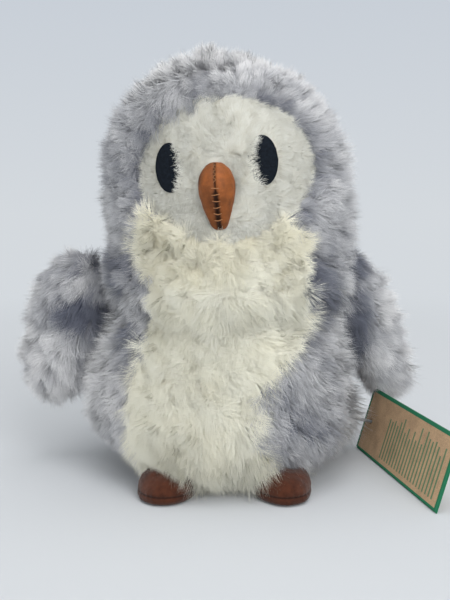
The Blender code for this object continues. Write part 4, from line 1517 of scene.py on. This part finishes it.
def foot(trim, side, label):
    """One suede foot, with the seam between its upper and its sole."""
    turned = Matrix.Rotation(side * FOOT_SPLAY, 4, "Z")
    ahead = Matrix.Translation((0, -FOOT_FORWARD_SHARE * 2 * FOOT_SIZE[1], -ANKLES[side].z))
    mesh = soft_form(label, FOOT_RINGS, FOOT_SIZE, 0.0, Matrix.Identity(4), levels=4)
    co, normals = points_of(mesh)
    height = co[:, 2]
    seam = bell(height, FOOT_SEAM, FOOT_GROOVE[0])
    sewn = 0.5 + 0.5 * np.cos(np.arctan2(co[:, 1], co[:, 0]) * FOOT_STITCHES)
    shift = -FOOT_GROOVE[1] * seam - FOOT_PUCKER[1] * sewn * bell(height, FOOT_SEAM, FOOT_PUCKER[0])
    lumps = FOOT_LUMPS[1] * waves(co, FOOT_LUMPS[0], 71 + side)
    shift = shift + lumps + FOOT_CREASES[1] * waves(co, FOOT_CREASES[0], 73)
    move_points(mesh, co + weighed(normals, shift * smooth_step(height, *FOOT_SOLE)))
    # Painted shade: darker in the seam's groove and towards the floor
    give(mesh, "shade", np.clip(0.8 * seam + 0.45 * (1 - smooth_step(height, *FOOT_SHADOW)), 0, 1))
    mesh.transform(Matrix.Translation(ANKLES[side]) @ turned @ ahead)
    mesh.shade_smooth()
    mesh.materials.append(suede(label + "_suede", trim))
    piece = new_object(label + "_suede", mesh)
    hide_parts(label + "_upper", label + "_sole", label + "_filling")
    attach(piece, label)


def studio_floor(stage):
    """A wide disc that fades into the backdrop."""
    bm = bmesh.new()
    bmesh.ops.create_circle(bm, cap_ends=True, radius=FLOOR_RADIUS, segments=96)
    mesh = mesh_of(bm, "floor")
    floor = new_object("floor", mesh)
    made, w, shader = finish_with("floor", stage.floor, 0.9)
    set_inputs(shader, {"Specular IOR Level": 0.1})
    near, far = FLOOR_FADE
    given = {"Value": w.vector("LENGTH", w.where()), "From Min": near, "From Max": far}
    fade = w.add("ShaderNodeMapRange", given, interpolation_type="SMOOTHSTEP").outputs[0]
    glow = w.add("ShaderNodeEmission", {"Color": (*stage.backdrop, 1), "Strength": 1.0})
    w.show_to_camera(shader, glow, fade, "Material Output")
    mesh.materials.append(made)


def studio_world(stage):
    """Even light from all round, and the backdrop that the camera sees."""
    world = bpy.data.worlds.new("studio")
    bpy.context.scene.world = world
    world.use_nodes = True
    w = Wiring(world.node_tree)
    lit = world.node_tree.nodes["Background"]
    set_inputs(lit, {"Color": WORLD_LIGHT, "Strength": WORLD_STRENGTH})
    parts = w.parts(w.add("ShaderNodeTexCoord").outputs["Generated"])
    rise = w.math("MULTIPLY", parts[2], 3.5, clamp=True)
    sky = w.ramp(rise, (0.0, stage.backdrop), (1.0, SKY))
    seen = w.add("ShaderNodeBackground", {"Color": sky, "Strength": 1.0})
    w.show_to_camera(lit, seen, None, "World Output")


def studio_lamps():
    """Round soft lamps, aimed at the owl's middle."""
    for name, (place, size, energy) in LAMPS.items():
        lamp = bpy.data.lights.new(name, "AREA")
        lamp.shape = "DISK"
        lamp.size = size
        lamp.energy = energy
        made = new_object(name, lamp)
        made.location = place
        made.rotation_euler = (Vector(LAMP_AIM) - Vector(place)).to_track_quat("-Z", "Y").to_euler()


def studio_camera(stage):
    """The camera in front of the owl, a little above it."""
    lens = bpy.data.cameras.new("camera")
    lens.sensor_fit = "VERTICAL"
    lens.sensor_height = SENSOR_HEIGHT
    lens.lens = FOCAL_LENGTH
    lens.clip_start = CLIP_START
    camera = new_object("camera", lens)
    back = Vector((0, -math.cos(stage.elevation), math.sin(stage.elevation)))
    camera.location = Vector((0, 0, stage.aim_height)) + back * stage.distance
    camera.rotation_euler = (-back).to_track_quat("-Z", "Y").to_euler()
    bpy.context.scene.camera = camera


class OWL_OT_stage(bpy.types.Operator):
    """Floor, world, lights and camera."""

    bl_idname = "owl.stage"
    bl_label = "Studio"

    def execute(self, context):
        stage = context.scene.owl_stage
        context.scene.view_settings.view_transform = "Standard"
        studio_floor(stage)
        studio_world(stage)
        studio_lamps()
        studio_camera(stage)
        return {"FINISHED"}


class OWL_OT_head_fur(bpy.types.Operator):
    """Hood, face and chin fur of the head."""

    bl_idname = "owl.head_fur"
    bl_label = "Head fur"

    def execute(self, context):
        for sub_part in (hood_fur, face_fur, chin_fur):
            sub_part(context.scene.owl_fur)
        return {"FINISHED"}


class OWL_OT_body_fur(bpy.types.Operator):
    """Belly, back and base fur of the body."""

    bl_idname = "owl.body_fur"
    bl_label = "Body fur"

    def execute(self, context):
        for sub_part in (back_fur, belly_fur, base_fur):
            sub_part(context.scene.owl_fur)
        return {"FINISHED"}


class OWL_OT_wings(bpy.types.Operator):
    """Both wings, in long fur."""

    bl_idname = "owl.wings"
    bl_label = "Wings"

    def execute(self, context):
        for side, label in ((-1, "wing_left"), (1, "wing_right")):
            wing_fur(context.scene.owl_fur, side, label)
        return {"FINISHED"}


class OWL_OT_eyes(bpy.types.Operator):
    """Two oval eyes of black felt."""

    bl_idname = "owl.eyes"
    bl_label = "Eyes"

    def execute(self, context):
        search = search_of(shared_skin())
        for side, label in ((-1, "eye_left"), (1, "eye_right")):
            eye(context.scene.owl_trim, search, side, label)
        return {"FINISHED"}


class OWL_OT_beak(bpy.types.Operator):
    """Beak of two leather halves, with its seam and whipstitches."""

    bl_idname = "owl.beak"
    bl_label = "Beak"

    def execute(self, context):
        trim = context.scene.owl_trim
        place = HEAD_PLACE @ Matrix.Translation((HEAD_SHIFT, FACE_RECESS - HEAD_SIZE[1], BEAK_BASE))
        form = soft_form("beak", BEAK_RINGS, BEAK_SIZE, 0.0, Matrix.Identity(4), levels=4)
        search = search_of(form)
        shade = beak_form(form, trim)
        for side, label in ((-1, "beak_left_half"), (1, "beak_right_half")):
            beak_half(form, shade, trim, place, side, label)
        stitches(search, trim, place)
        return {"FINISHED"}


class OWL_OT_feet(bpy.types.Operator):
    """Both feet, in brown suede, each with the seam between its upper and its sole."""

    bl_idname = "owl.feet"
    bl_label = "Feet"

    def execute(self, context):
        for side, label in ((-1, "foot_left"), (1, "foot_right")):
            foot(context.scene.owl_trim, side, label)
        return {"FINISHED"}


class OWL_OT_tag(bpy.types.Operator):
    """Hang tag of two card leaves on a nylon fastener."""

    bl_idname = "owl.tag"
    bl_label = "Hang tag"

    def execute(self, context):
        trim = context.scene.owl_trim
        finishes = {
            "tag_front_leaf": card("tag_front_card", trim),
            "tag_back_leaf": card("tag_back_card", trim),
            "tag_fastener": nylon("fastener_nylon", trim),
        }
        for label, made in finishes.items():
            node = frame["nodes"][label]
            node.data.materials.clear()
            node.data.materials.append(made)
        return {"FINISHED"}


class OWL_PT_panel(bpy.types.Panel):
    """Lists the owl's pieces in the sidebar."""

    bl_idname = "OWL_PT_panel"
    bl_label = "Plush owl"
    bl_space_type = "VIEW_3D"
    bl_region_type = "UI"
    bl_category = "Owl"

    def draw(self, context):
        for settings in (context.scene.owl_fur, context.scene.owl_trim, context.scene.owl_stage):
            box = self.layout.box()
            for key in settings.__annotations__:
                box.prop(settings, key)
        for operator in OPERATORS:
            self.layout.operator(operator.bl_idname)


SETTINGS = {"owl_fur": OwlFurSettings, "owl_trim": OwlTrimSettings, "owl_stage": OwlStageSettings}
OPERATORS = (
    OWL_OT_stage,
    OWL_OT_head_fur,
    OWL_OT_body_fur,
    OWL_OT_wings,
    OWL_OT_eyes,
    OWL_OT_beak,
    OWL_OT_feet,
    OWL_OT_tag,
)


def register():
    for made in (*SETTINGS.values(), *OPERATORS, OWL_PT_panel):
        bpy.utils.register_class(made)
    for key, made in SETTINGS.items():
        setattr(bpy.types.Scene, key, PointerProperty(type=made))


def unregister():
    for key in SETTINGS:
        delattr(bpy.types.Scene, key)
    for made in (OWL_PT_panel, *reversed(OPERATORS), *SETTINGS.values()):
        bpy.utils.unregister_class(made)


def main():
    register()
    for operator in OPERATORS:
        group, name = operator.bl_idname.split(".")
        getattr(getattr(bpy.ops, group), name)()


if __name__ == "__main__":
    main()
